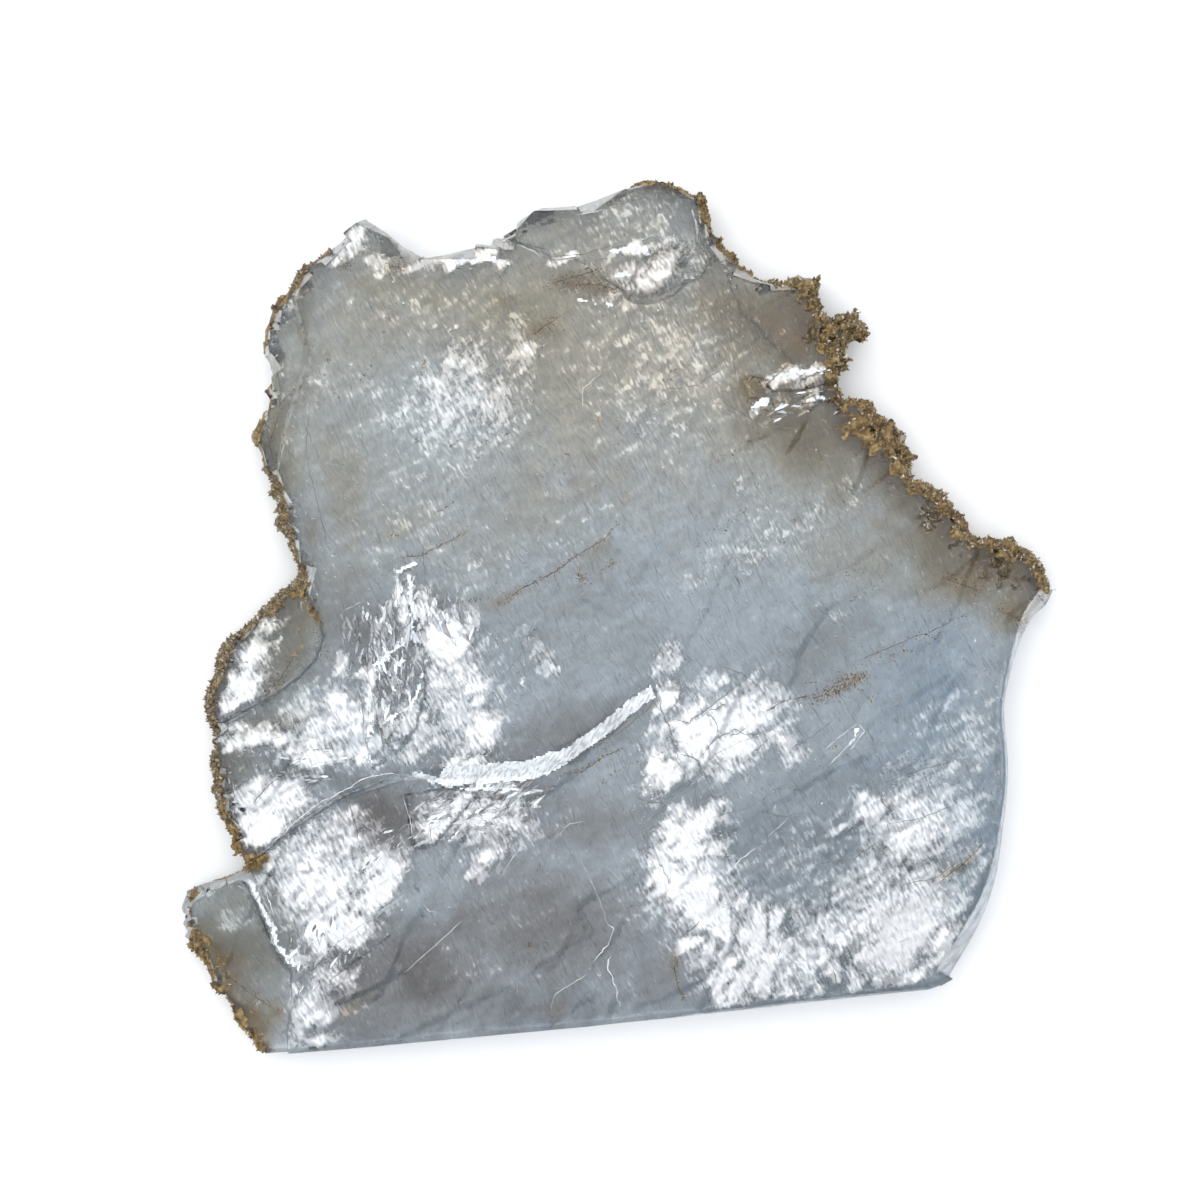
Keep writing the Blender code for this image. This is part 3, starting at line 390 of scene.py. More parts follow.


# ---------------------------------------------------------------- tones and crust of the crystal
# A tone is the colour that the crystal takes near its patches. Most are the crystal's own tints and stains;
# the three greys marked below are painted shade, the last of them in part.

CLEAR = (0.91, 0.935, 0.958)
TONES = [
    ((0.88, 0.79, 0.67), [(-20, 85, 120, 62, 0, 1), (40, 60, 70, 30, -35, 0.8)]),
    ((0.92, 0.92, 0.9), [(-54, 62, 30, 24, 0, 1), (42, 22, 22, 14, 20, 0.9), (-50, 14, 24, 12, 0, 0.7),
     (50, 34, 26, 10, -20, 0.4), (8, 58, 12, 10, 0, 0.5)]),
    ((0.78, 0.71, 0.6), [(-82, 38, 10, 22, 10, 0.9), (-82, 12, 12, 10, 0, 0.6), (-66, 28, 14, 6, 20, 0.6),
     (-28, 30, 30, 12, 30, 0.5), (76, 16, 20, 10, -20, 0.7)]),
    ((0.77, 0.83, 0.89), [(95, -20, 26, 16, 80, 1), (90, -44, 20, 8, 10, 0.6)]),
    ((0.88, 0.94, 1), [(112, -66, 12, 26, -12, 1)]),
    ((0.61, 0.65, 0.68), [(55, -68, 26, 14, 10, 0.8), (62, -90, 12, 8, 60, 0.5),
     (62, -50, 20, 8, 20, 0.6)]),
    ((0.62, 0.63, 0.62), [(62, -8, 28, 12, 30, 0.7), (48, -18, 14, 8, 30, 0.4)]),
    # Painted shade: greyer where something dark lay behind the middle of the slab.
    ((0.75, 0.75, 0.74), [(-14, 2, 26, 22, 30, 0.7), (6, -8, 16, 14, 0, 0.5)]),
    # Painted shade: dark where something lay behind the lower left of the slab.
    ((0.32, 0.28, 0.27), [(-70, -60, 16, 12, -10, 1), (-60, -108, 16, 20, 0, 1)]),
    # Partly painted shade: darker where dark things lay behind the lower part of the slab.
    ((0.48, 0.45, 0.44), [(-22, -94, 36, 22, 0, 0.9), (-14, -34, 22, 10, 20, 0.7),
     (-78, -112, 14, 18, 0, 0.8), (-80, -2, 10, 14, 0, 0.6), (-44, -108, 14, 20, 20, 0.6),
     (-8, -62, 20, 10, 0, 0.7)]),
    ((0.6, 0.59, 0.61), [(14, -110, 16, 14, 0, 0.9), (-36, -60, 30, 16, 0, 0.6)]),
    ((0.42, 0.42, 0.44), [(-24, -119, 24, 8, 4, 0.9), (-76, -126, 14, 6, 0, 0.8)]),
    ((0.58, 0.62, 0.65), [(-96, -46, 16, 4, -8, 1), (-84, -50, 10, 3, -20, 0.8), (-96, -92, 3, 8, 0, 0.6)]),
    ((0.4, 0.39, 0.33), [(-117, -103, 20, 28, 0, 1)]),
    ((0.6, 0.58, 0.5), [(-100, -8, 16, 15, 40, 0.9), (-106, -32, 16, 5, 10, 0.9),
     (-114, -45, 8, 7, 0, 0.8)]), ((0.93, 0.91, 0.82), [(-98, 84, 8, 14, -4, 0.8)]),
    ((0.74, 0.66, 0.46), [(-103, 62, 6, 16, -4, 0.9), (-102, 44, 7, 14, 0, 0.9), (-60, 98, 34, 6, 0, 0.4),
     (-28, 94, 16, 7, 10, 0.7)]),
    ((0.49, 0.38, 0.21), [(42, 90, 22, 16, -30, 0.85), (56, 58, 26, 14, -45, 0.9),
     (88, 40, 24, 10, -40, 0.9), (42, 70, 8, 5, 0, 0.9), (98, 18, 20, 8, -30, 0.8)]),
    ((0.43, 0.23, 0), [(62, 86, 16, 12, -40, 1), (76, 58, 16, 10, -40, 1), (88, 44, 13, 8, -40, 0.95),
     (100, 30, 18, 8, -35, 1), (117, 17, 16, 9, -20, 1), (42, 70, 5, 3, 0, 0.8), (-22, 87, 6, 3, 0, 0.6)]),
    ((0.38, 0.27, 0.13), [(-10, 101, 12, 3, -8, 0.9), (-34, 96, 5, 2, -10, 0.6), (-67, 105, 4, 1.5, 0, 0.7),
     (-82, 106, 2, 1.5, 0, 0.7), (-75, 102, 2, 1.5, 0, 0.6)]),
    ((0.6, 0.44, 0.22), [(105, 10, 14, 7, 10, 0.8), (120, 3, 9, 7, 30, 0.85), (104, -74, 9, 2, 33, 0.8),
     (-18, -118, 3, 3, 0, 0.5), (-80, -118, 6, 1.6, 35, 0.6), (18, -104, 2.5, 6, 0, 0.5),
     (-6, 20, 8, 2, 40, 0.6), (-34, 6, 10, 2, 25, 0.5)]),
    ((0.4, 0.22, 0.01), [(-122, -101, 6, 3, -50, 0.9), (-117, -109, 5, 2.5, -60, 0.7),
     (-110, -123, 7, 3, -50, 0.9), (-104, -120, 4, 2, 20, 0.6), (-116, -104, 4, 1.5, 10, 0.6),
     (-119, -12, 3, 9, 10, 0.6), (-92, 26, 2, 12, 10, 0.5), (-96, 0, 3, 8, 20, 0.5)]),
    ((0.72, 0.75, 0.74), [(-114, -92, 9, 4, 15, 0.8), (-104, -88, 4, 6, 70, 0.5),
     (-106, -112, 6, 4, 40, 0.5)])
]

PALE = (0.76, 0.74, 0.64)
TAN = (0.60, 0.50, 0.34)
BROWN = (0.50, 0.36, 0.17)
OCHRE = (0.62, 0.42, 0.13)
GOLD = (0.50, 0.30, 0.03)
GREY_BROWN = (0.42, 0.39, 0.31)
# A crust band is (line, half width, colour, strength).
CRUST_BANDS = [
    ([(-88, 112), (-96, 104), (-105, 91), (-108, 80), (-106, 70), (-108, 60), (-109, 50), (-106, 42)],
     3, PALE, 0.6), ([(-105, 42), (-102, 34), (-100, 26), (-98, 18), (-95, 11)], 3, BROWN, 0.9),
    ([(-95, 98), (-94, 88), (-93, 80), (-95, 70), (-100, 62), (-104, 54), (-103, 46)],
     1.8, (0.3, 0.21, 0.09), 0.36),
    ([(-97, 10), (-108, 2), (-119, -8), (-121, -16), (-124, -25), (-123, -36), (-122, -46), (-120, -57)],
     3.4, BROWN, 0.9), ([(-120, -57), (-116, -66), (-112, -74), (-107, -73)], 3, BROWN, 0.9),
    ([(-96, 9), (-93, 4), (-90, -1)], 2, OCHRE, 0.5),
    ([(-98, 2), (-96, -8), (-100, -16), (-104, -22)], 4, TAN, 0.35),
    ([(-111, -75), (-118, -78), (-126, -81), (-129.5, -86), (-128.5, -93), (-127, -97)],
     1.5, GREY_BROWN, 0.5),
    ([(-127, -97), (-126, -106), (-121, -115), (-116, -123), (-109, -130)], 3.2, OCHRE, 0.9),
    ([(-125, -98), (-121, -101), (-119, -105)], 2.2, GOLD, 0.55),
    ([(-118, -112), (-114, -118), (-111, -123)], 1.8, GOLD, 0.5),
    ([(-112, -118), (-106, -124), (-103, -120)], 2.2, GOLD, 0.36),
    ([(4, 132), (14, 132), (25, 128), (28, 120), (32, 113), (37, 108), (44, 104), (52, 102), (60, 100)],
     2.4, BROWN, 0.9), ([(60, 99), (63, 92), (70, 90), (75, 88)], 6, BROWN, 0.9),
    ([(64, 84), (68, 79), (66, 74)], 5, TAN, 0.9), ([(68, 68), (73, 65), (77, 63), (77, 58)], 5, BROWN, 1),
    ([(72, 58), (81, 54), (87, 50), (88, 44)], 6, BROWN, 0.9),
    ([(90, 42), (97, 37), (103, 31), (106, 26)], 4.5, BROWN, 0.95),
    ([(106, 25), (114, 22), (122, 20), (127, 16), (130, 11)], 4, BROWN, 0.9)
]


def near_crust(x, y):
    """The distance from each point to the middle of the nearest crust band."""
    return near_lines(x, y, [band[0] for band in CRUST_BANDS])


def blend_towards(colour, tone, share):
    return colour + (np.array(tone) - colour) * share[:, None]


def crystal_colours(x, y):
    """The crystal's colour, with its stains and some painted shade, and the share of crust at each point.
    """
    colour = np.tile(np.array(CLEAR), (len(x), 1))
    wobble = 0.35 * noise_at(x, y, 9, 5, 60, 1) + 0.2 * noise_at(x, y, 3, 1.6, 60, 2)
    for tone, patches in TONES:
        colour = blend_towards(colour, tone, patch_cover(x, y, patches, wobble, soft=0.9)[0])
    ragged = 1.0 + 0.45 * noise_at(x, y, 3.5, 2.5, 20, 3) + 0.3 * noise_at(x, y, 1.2, 1.0, 20, 4)
    crust = np.zeros(len(x))
    for line, half_width, tone, strength in CRUST_BANDS:
        here = strength * np.clip((1.3 * ragged - line_distance(x, y, line) / half_width) / 0.8, 0, 1)
        colour = blend_towards(colour, tone, here)
        crust = np.maximum(crust, here)
    return colour, crust


def rim_share(x, y):
    """How far each point lies in a plain rim strip, from 0 to 1."""
    share = np.zeros(len(x))
    rough = noise_at(x, y, 3.0, 1.2, 100, 9) + 0.5 * noise_at(x, y, 1.2, 0.7, 100, 10)
    for half_width, ragged, line in RIM_STRIPS:
        edge = half_width - line_distance(x, y, line) + 2.2 * ragged * rough
        share = np.maximum(share, np.clip(edge / 1.2, 0, 1))
    return share


# ---------------------------------------------------------------- the clear body

FRONT_CELL = 1.1      # the steps at which the front, the sides and the back are cut
SIDE_CELL = 1.4
BACK_CELL = 4.0
FRONT_LOWEST = 8.0    # no face below this belongs to the front
LEVEL = 0.8           # the upward or downward share of a normal from which a face is the back's
SHARP = 28.0          # the angle from which an edge stays sharp
STONY = 0.42          # the share of crust from which a side is opaque
CREEP = 8.0           # how far from the middle of its band the crust may creep


def grid_planes(cell):
    return list(np.arange(-REACH + 0.37 * cell, REACH, cell) * MM)


def cut_faces(bm, faces, axis, planes):
    """Cuts the faces along every plane across the axis, the middle one first, and returns them."""
    if not planes or not faces:
        return faces
    half = len(planes) // 2
    geometry = set(faces)
    for face in faces:
        geometry.update(face.edges)
        geometry.update(face.verts)
    point = Vector((0, 0, 0))
    point[axis] = planes[half]
    normal = Vector((0, 0, 0))
    normal[axis] = 1
    cut = bmesh.ops.bisect_plane(bm, geom=list(geometry), dist=1e-7, plane_co=point, plane_no=normal)
    pieces = [item for item in cut["geom"] if isinstance(item, bmesh.types.BMFace)]
    low = [face for face in pieces if face.calc_center_bounds()[axis] < planes[half]]
    high = [face for face in pieces if face.calc_center_bounds()[axis] >= planes[half]]
    return cut_faces(bm, low, axis, planes[:half]) + cut_faces(bm, high, axis, planes[half + 1:])


def faces_front(face):
    return face.normal.z > 0.3 and face.calc_center_median().z > FRONT_LOWEST * MM


def numbers(items, name, width=1, kind=np.float32):
    """One number, or one row of them, for each item of a mesh."""
    values = np.empty(len(items) * width, dtype=kind)
    items.foreach_get(name, values)
    return values if width == 1 else values.reshape(-1, width)


def points_of(mesh):
    return numbers(mesh.vertices, "co", 3, float) / MM


def move_points(mesh, place):
    mesh.vertices.foreach_set("co", (place * MM).ravel())


def steepness(normal):
    """From 0 on a level face to 1 on a side."""
    return np.clip((np.hypot(normal[:, 0], normal[:, 1]) - 0.5) / 0.3, 0, 1)


def store(mesh, name, values, kind="FLOAT"):
    """Keeps one number, or one colour, for each point of a mesh."""
    layer = mesh.attributes.new(name, kind, "POINT")
    if kind == "FLOAT":
        layer.data.foreach_set("value", np.asarray(values, dtype=np.float32))
    else:
        rgba = np.ones((len(values), 4), dtype=np.float32)
        rgba[:, :3] = values
        layer.data.foreach_set("color", rgba.ravel())


def make_body():
    """A copy of the slab's own solid, its faces cut into a fine grid that can carry relief and colour."""
    bm = bmesh.new()
    bm.from_mesh(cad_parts[SLAB].data)
    bmesh.ops.remove_doubles(bm, verts=bm.verts, dist=0.001 * MM)
    bmesh.ops.dissolve_limit(bm, angle_limit=0.002, verts=bm.verts, edges=bm.edges)
    front = [face for face in bm.faces if faces_front(face)]
    rest = [face for face in bm.faces if not faces_front(face)]
    back = [face for face in rest if abs(face.normal.z) >= LEVEL]
    sides = [face for face in rest if abs(face.normal.z) < LEVEL]
    for faces, cell, axes in ((back, BACK_CELL, 2), (sides, SIDE_CELL, 3), (front, FRONT_CELL, 2)):
        for axis in range(axes):
            faces = cut_faces(bm, faces, axis, grid_planes(cell))
    bmesh.ops.triangulate(bm, faces=bm.faces)
    mesh = bpy.data.meshes.new("clear_body")
    bm.to_mesh(mesh)
    bm.free()
    return link(bpy.data.objects.new("clear_body", mesh))


def relief(x, y):
    """How far the front face lies below its flat level: slow waves, fibres, cleavage steps and cracks."""
    waves = 0.09 * (1 + noise_at(x, y, 16, 9, 62, 31))
    fibres = 0.05 * (1 + noise_at(x, y, 6, 1.8, 62, 32)) + 0.03 * (1 + noise_at(x, y, 4, 1.5, 35, 33))
    bend = 2.5 * noise_at(x, y, 20, 20, 0, 34)
    steps = np.zeros(len(x))
    for turn, long, wide, depth in ((62, 34, 11, 0.22), (28, 26, 9, 0.16)):
        u, v = turned(x, y, turn)
        cells = zip((u + bend) / long, (v + bend) / wide)
        steps += depth * np.array([noise.cell(Vector((a, b, turn))) for a, b in cells])
    grooves = 0.08 * np.exp(-(near_lines(x, y, CRACKS) / 0.8) ** 2)
    return waves + fibres + steps + grooves


def carve(body):
    """Lowers the front of the body by its relief, and nothing near the back."""
    place = points_of(body.data)
    share = np.clip((place[:, 2] - FRONT_LOWEST) / 4, 0, 1)
    place[:, 2] -= share * relief(place[:, 0], place[:, 1])
    move_points(body.data, place)
    body.data.shade_smooth()
    body.data.set_sharp_from_angle(angle=math.radians(SHARP))


def roughen_sides(body):
    """Pits and swells the crusted sides, and keeps a lighter or darker shade for each point: painted shade,
    darker in the pits and paler on the swells.
    """
    mesh = body.data
    place = points_of(mesh)
    x, y, z = place.T
    down = RIM - z
    crust = numbers(mesh.attributes["crust"].data, "value")
    outward = numbers(mesh.vertex_normals, "vector", 3)[:, :2]
    lumps = (noise_at(x + down, y - down, 2.6, 2.6, 0, 63) +
             0.7 * noise_at(x - down, y + down, 1.2, 1.2, 0, 64))
    place[:, :2] += outward * ((0.7 * lumps - 0.45) * crust * steepness(outward))[:, None]
    move_points(mesh, place)
    # Painted shade: the crust's colour goes darker in its pits and paler on its swells.
    store(mesh, "shade", np.clip(0.5 + 0.9 * lumps, 0, 1))


def mark_sides(mesh, stone_slot):
    """Keeps which faces are sides, and gives the crusted ones of them their own material."""
    corners = numbers(mesh.polygons, "vertices", 3, np.int32)
    normal = numbers(mesh.polygons, "normal", 3)
    crust = numbers(mesh.attributes["crust"].data, "value")
    layer = mesh.attributes.new("side", "FLOAT", "FACE")
    layer.data.foreach_set("value", steepness(normal).astype(np.float32))
    stony = (np.hypot(normal[:, 0], normal[:, 1]) > 0.6) & (crust[corners].mean(axis=1) > STONY)
    mesh.polygons.foreach_set("material_index", np.where(stony, stone_slot, 0).astype(np.int32))


def colour_body(body):
    """Keeps the tint with its painted shade, the crust and the veil of each point of the body."""
    x, y, z = points_of(body.data).T
    down = np.clip(RIM - z, 0, FACE)
    colour, crust = crystal_colours(x, y)
    crust = np.clip(crust + down / RIM * (0.55 * noise_at(x + down, y - down, 7, 5, 40, 15) +
                                         0.35 * noise_at(x - down, y + down, 2.2, 2.2, 0, 16)) *
                    (near_crust(x, y) < CREEP), 0, 1)
    wobble = 0.22 * noise_at(x, y, 9, 5, 50, 5) + 0.22 * noise_at(x, y, 3.2, 1.8, 62, 6)
    bands = 0.09 * noise_at(x, y, 26, 4.5, 28, 7) + 0.07 * noise_at(x, y, 7, 2, 118, 8)
    rim = rim_share(x, y)
    colour = np.clip(colour * (1 + bands[:, None]), 0, 1)
    colour = blend_towards(colour, (0.80, 0.85, 0.90), 0.7 * rim * (1 - crust))
    veil = patch_cover(*torn(x, y), VEILS, wobble, soft=0.7)[0] * (0.9 + 0.3 * noise_at(x, y, 7, 3, 70, 14))
    glow = patch_cover(*torn(x, y), SHEENS, 1.2 * wobble, soft=1.0)[0]
    veil = np.maximum(veil, glow) * (1 - crust) * (1 - 0.9 * rim)
    veil *= 1 - 0.35 * np.exp(-(near_lines(x, y, CRACKS) / 0.6) ** 2)
    store(body.data, "tint", colour, "FLOAT_COLOR")
    store(body.data, "crust", crust)
    store(body.data, "veil", veil + 0.9 * np.clip(bands, 0, 1))


# ---------------------------------------------------------------- the inside of the slab

BED_CELL = 0.7        # the step of the grid of places for flakes
RIM_MARGIN = 2.2      # how far the roof is looked for its lowest near a flake
CRACK_GAP = 0.6       # no flake lies this near a crack


class Inside:
    """A flat grid of points over the slab, with the height of the front face, its roof, at each."""

    def __init__(self, body):
        self.body = BVHTree.FromObject(body, bpy.context.evaluated_depsgraph_get())
        line = np.arange(-REACH, REACH, BED_CELL)
        self.side = len(line)
        grid_x, grid_y = np.meshgrid(line, line)
        self.x, self.y = grid_x.ravel(), grid_y.ravel()
        self.roof = self.roof_over(self.x, self.y)
        self.low_roof = self.lowest_near(self.roof)

    def roof_over(self, x, y):
        """The height of the front face over each point, 0 outside the slab."""
        roof = np.zeros(len(x))
        for index, (right, up) in enumerate(zip(x, y)):
            hit = self.body.ray_cast(Vector((right * MM, up * MM, 1.0)), Vector((0, 0, -1)))[0]
            roof[index] = hit.z / MM if hit else 0
        return roof

    def lowest_near(self, roof):
        """The lowest roof within the margin of each point, so that nothing reaches out of a side."""
        field = roof.reshape(self.side, self.side)
        reach = int(round(RIM_MARGIN / BED_CELL))
        low = field.copy()
        for dx in range(-reach, reach + 1):
            for dy in range(-reach, reach + 1):
                if math.hypot(dx, dy) <= reach:
                    low = np.minimum(low, np.roll(field, (dx, dy), (0, 1)))
        return low.ravel()


# ---------------------------------------------------------------- white skins over broken ledges

SKIN_CELL = 0.5
SKIN_HALF = 0.05      # half the thickness of a skin
SKIN_STEP = 0.8       # a cell whose corners differ by more than this in height gets no crust
SKIN_REACH = 9.0      # how far from the middle of its band the crust skin may reach


def skin_places(seed):
    """The places of a fine, slightly uneven square grid over the slab, and how many make one side of it."""
    line = np.arange(-REACH, REACH, SKIN_CELL)
    grid_x, grid_y = np.meshgrid(line, line)
    rng = np.random.default_rng(seed)
    x, y = (grid.ravel() + rng.uniform(-0.3, 0.3, grid.size) * SKIN_CELL for grid in (grid_x, grid_y))
    return x, y, len(line)


def cell_corners(values, side):
    """The values at the four corners of each cell of the grid."""
    field = values.reshape(side, side)
    return np.stack([field[:-1, :-1], field[1:, :-1], field[:-1, 1:], field[1:, 1:]])


def fill_diagonals(cells):
    """Fills cells that would touch only at a corner, so that a skin is one clean sheet."""
    for _ in range(4):
        first, second = cells[:-1, :-1], cells[1:, 1:]
        third, fourth = cells[:-1, 1:], cells[1:, :-1]
        touching = (first & second & ~third & ~fourth) | (~first & ~second & third & fourth)
        cells[:-1, :-1] |= touching
        cells[:-1, 1:] |= touching
    return cells


def skin_mesh(name, cells, x, y, z):
    """A thin closed skin: a top and a bottom sheet over the chosen cells, and a wall round their rim."""
    rows, columns = np.nonzero(cells)
    side = cells.shape[1] + 1
    corner = rows * side + columns
    quads = np.stack([corner, corner + 1, corner + side + 1, corner + side], axis=1)
    total = len(x)
    edges = np.concatenate([quads[:, [k, (k + 1) % 4]] for k in range(4)])
    keys = set(map(tuple, edges))
    rim = np.array([edge for edge in keys if (edge[1], edge[0]) not in keys])
    walls = np.stack([rim[:, 1], rim[:, 0], rim[:, 0] + total, rim[:, 1] + total], axis=1)
    faces = np.concatenate([quads, quads[:, ::-1] + total, walls])
    used, order = np.unique(faces, return_inverse=True)
    points = np.concatenate([np.stack([x, y, z + SKIN_HALF], 1), np.stack([x, y, z - SKIN_HALF], 1)]) * MM
    mesh = bpy.data.meshes.new(name)
    mesh.from_pydata(points[used], [], order.reshape(faces.shape))
    return mesh, used


def make_frost(inside):
    """Thin white skins over the broken ledges, strips and slivers of the front face."""
    x, y, side = skin_places(SEED + 1)
    margin = np.full(len(x), -9.0)
    for half_width, ragged, points in FROST_BANDS:
        margin = np.maximum(margin, (half_width - line_distance(x, y, points)) / ragged)
    near = margin > -1.2
    rough = np.zeros(len(x))
    rough[near] = (noise_at(x[near], y[near], 2.6, 1.0, 50, 41) +
                   0.6 * noise_at(x[near], y[near], 0.9, 0.7, 0, 42))
    z = np.zeros(len(x))
    z[near] = inside.roof_over(x[near], y[near])
    chosen = near & (margin + 1.1 * rough > 0) & (z > LOW_ROOF) & (near_lines(x, y, CRACKS) > 0.35)
    cells = cell_corners(chosen, side).all(axis=0)
    z += 0.03 + 0.06 * np.clip(rough, 0, 1)
    mesh = skin_mesh("frost", fill_diagonals(cells), x, y, z)[0]
    return link(bpy.data.objects.new("frost", mesh))


def make_crust_skin(inside):
    """The lumpy, pitted ground of the crust, over the front face along the crusted rims, with painted shade
    in its pits.
    """
    x, y, side = skin_places(SEED + 2)
    near = near_crust(x, y) < SKIN_REACH
    crust, lumps, z = np.zeros(len(x)), np.zeros(len(x)), np.zeros(len(x))
    crust[near] = crystal_colours(x[near], y[near])[1]
    lumps[near] = noise_at(x[near], y[near], 2.4, 1.9, 0, 61) + noise_at(x[near], y[near], 0.95, 0.8, 0, 62)
    z[near] = inside.roof_over(x[near], y[near])
    chosen = near & (crust + 0.35 * lumps > 0.5) & (z > LOW_ROOF)
    cells = cell_corners(chosen, side).all(axis=0) & (np.ptp(cell_corners(z, side), axis=0) < SKIN_STEP)
    z += 0.05 + 0.6 * np.clip(lumps + 0.25, -0.3, 2)
    mesh, used = skin_mesh("crust_skin", fill_diagonals(cells), x, y, z)
    # Painted shade: the skin is coloured darker in its pits and paler on its peaks.
    store(mesh, "shade", np.clip(0.3 + 0.6 * np.tile(lumps, 2)[used], 0, 1))
    return link(bpy.data.objects.new("crust_skin", mesh))


# ---------------------------------------------------------------- small shapes

EIGHT_SIDES = [(0, 1, 4), (1, 2, 4), (2, 3, 4), (3, 0, 4), (1, 0, 5), (2, 1, 5), (3, 2, 5), (0, 3, 5)]


def closed_shape(name, points, faces):
    mesh = bpy.data.meshes.new(name)
    mesh.from_pydata(points, [], faces)
    return bpy.data.objects.new(name, mesh)


def flake_shape():
    """A flat four-sided flake, a unit long and wide, with a low peak above and below."""
    points = [(0.5, 0, 0), (0.1, 0.5, 0), (-0.5, 0, 0), (-0.1, -0.5, 0), (0.05, 0, 0.5), (-0.05, 0, -0.5)]
    return closed_shape("flake", points, EIGHT_SIDES)


def grain_shape(name, seed):
    """A small rough crystal grain, a unit across, of two uneven rings between two tips."""
    rng = np.random.default_rng(seed)
    points, faces = [(0, 0, -0.5)], []
    for level in (-0.22, 0.2):
        for k in range(5):
            angle = (k + 0.35 * rng.uniform(-1, 1) + level) * math.tau / 5
            far = 0.44 * rng.uniform(0.75, 1.2)
            points.append((far * math.cos(angle), far * math.sin(angle), level + 0.08 * rng.uniform(-1, 1)))
    points.append((0.08, 0.05, 0.55))
    for k in range(5):
        after = (k + 1) % 5
        faces += [(0, 1 + after, 1 + k), (1 + k, 1 + after, 6 + after), (1 + k, 6 + after, 6 + k),
                  (6 + k, 6 + after, 11)]
    return closed_shape(name, points, faces)


def blade_shape():
    """A small crystal blade, a unit long, that points along the fibre."""
    points = [(0.75, 0, 0.1), (0.15, 0.5, 0), (-0.3, 0.1, 0.05), (0.05, -0.5, 0), (0.2, 0.05, 0.5),
              (0.15, 0, -0.5)]
    return closed_shape("crust_blade", points, EIGHT_SIDES)


def plate_shape():
    """A flat broken plate, a unit long and wide, its rim bevelled."""
    rim = [(-0.5, -0.32), (0.12, -0.5), (0.5, -0.2), (0.38, 0.4), (-0.2, 0.5)]
    points = [(a, b, 0) for a, b in rim]
    points += [(0.86 * a, 0.86 * b, 0.5) for a, b in rim] + [(0.86 * a, 0.86 * b, -0.5) for a, b in rim]
    faces = [tuple(range(5, 10)), tuple(range(14, 9, -1))]
    for k in range(5):
        after = (k + 1) % 5
        faces += [(k, after, 5 + after, 5 + k), (after, k, 10 + k, 10 + after)]
    return closed_shape("plate", points, faces)


# ---------------------------------------------------------------- node trees

def feed(tree, socket, value):
    """Gives a socket a plain value, or links it to another node."""
    if isinstance(value, bpy.types.NodeSocket):
        tree.links.new(value, socket)
    else:
        socket.default_value = value


def add_node(tree, kind, *inputs):
    """A node of a kind, fed by pairs of a socket's name or number and a value."""
    node = tree.nodes.new(kind)
    for key, value in inputs:
        feed(tree, node.inputs[key], value)
    return node


def math_node(tree, operation, *values):
    node = tree.nodes.new("ShaderNodeMath")
    node.operation = operation
    for socket, value in zip(node.inputs, values):
        feed(tree, socket, value)
    return node.outputs[0]


def stored(tree, name):
    """A number kept for each point."""
    node = add_node(tree, "GeometryNodeInputNamedAttribute", ("Name", name))
    node.data_type = "FLOAT"
    return node.outputs["Attribute"]


def new_tree(name, inputs):
    """A tree from geometry to geometry with more named inputs, and the sockets that they come in by."""
    tree = bpy.data.node_groups.new(name, "GeometryNodeTree")
    tree.interface.new_socket("Geometry", in_out="OUTPUT", socket_type="NodeSocketGeometry")
    for socket, kind in [("Geometry", "Geometry")] + inputs:
        tree.interface.new_socket(socket, in_out="INPUT", socket_type=f"NodeSocket{kind}")
    return tree, tree.nodes.new("NodeGroupInput").outputs


def finish_tree(tree, geometry, material):
    """Gives the geometry its material and lets it out of the tree."""
    finish = add_node(tree, "GeometryNodeSetMaterial", ("Geometry", geometry), ("Material", material))
    add_node(tree, "NodeGroupOutput", (0, finish.outputs[0]))
    return tree


# ---------------------------------------------------------------- scattering and laying

# A scattered shape's length, width and thickness, the share by which its size varies, how far
# it tips over and how far it strays from its fibre, both in radians.
MEASURES = ("Length", "Width", "Thickness", "Spread", "Tilt", "Stray")


def scatter_tree():
    """Instances one shape on every point, laid along its fibre, and makes them real."""
    tree, source = new_tree("scatter", [("Shape", "Object"), ("Material", "Material")] +
                            [(name, "Float") for name in MEASURES] + [("Seed", "Int")])

    def random_between(low, high, layer):
        seed = math_node(tree, "ADD", source["Seed"], layer)
        return add_node(tree, "FunctionNodeRandomValue", (2, low), (3, high), ("Seed", seed)).outputs[1]

    def either_way(most, layer):
        return random_between(math_node(tree, "MULTIPLY", most, -1.0), most, layer)

    def times(first, second):
        return math_node(tree, "MULTIPLY", first, second)

    turn = math_node(tree, "ADD", stored(tree, "fibre"), either_way(source["Stray"], 3))
    varied = random_between(math_node(tree, "SUBTRACT", 1.0, source["Spread"]),
                            math_node(tree, "ADD", 1.0, source["Spread"]), 4)
    size = times(stored(tree, "size"), varied)
    stretch = random_between(0.7, 1.5, 5)
    rotation = add_node(tree, "ShaderNodeCombineXYZ", (0, either_way(source["Tilt"], 1)),
                        (1, either_way(source["Tilt"], 2)), (2, turn))
    scale = add_node(tree, "ShaderNodeCombineXYZ", (0, times(times(size, stretch), source["Length"])),
                     (1, times(size, source["Width"])), (2, times(size, source["Thickness"])))
    shape = add_node(tree, "GeometryNodeObjectInfo", ("Object", source["Shape"]))
    instance = add_node(tree, "GeometryNodeInstanceOnPoints", ("Points", source["Geometry"]),
                        ("Instance", shape.outputs["Geometry"]), ("Rotation", rotation.outputs[0]),
                        ("Scale", scale.outputs[0]))
    shade = add_node(tree, "GeometryNodeStoreNamedAttribute", ("Name", "shade"),
                     ("Value", random_between(0.0, 1.0, 6)), ("Geometry", instance.outputs[0]))
    shade.domain = "INSTANCE"
    shade.data_type = "FLOAT"
    realize = add_node(tree, "GeometryNodeRealizeInstances", (0, shade.outputs[0]))
    return finish_tree(tree, realize.outputs[0], source["Material"])


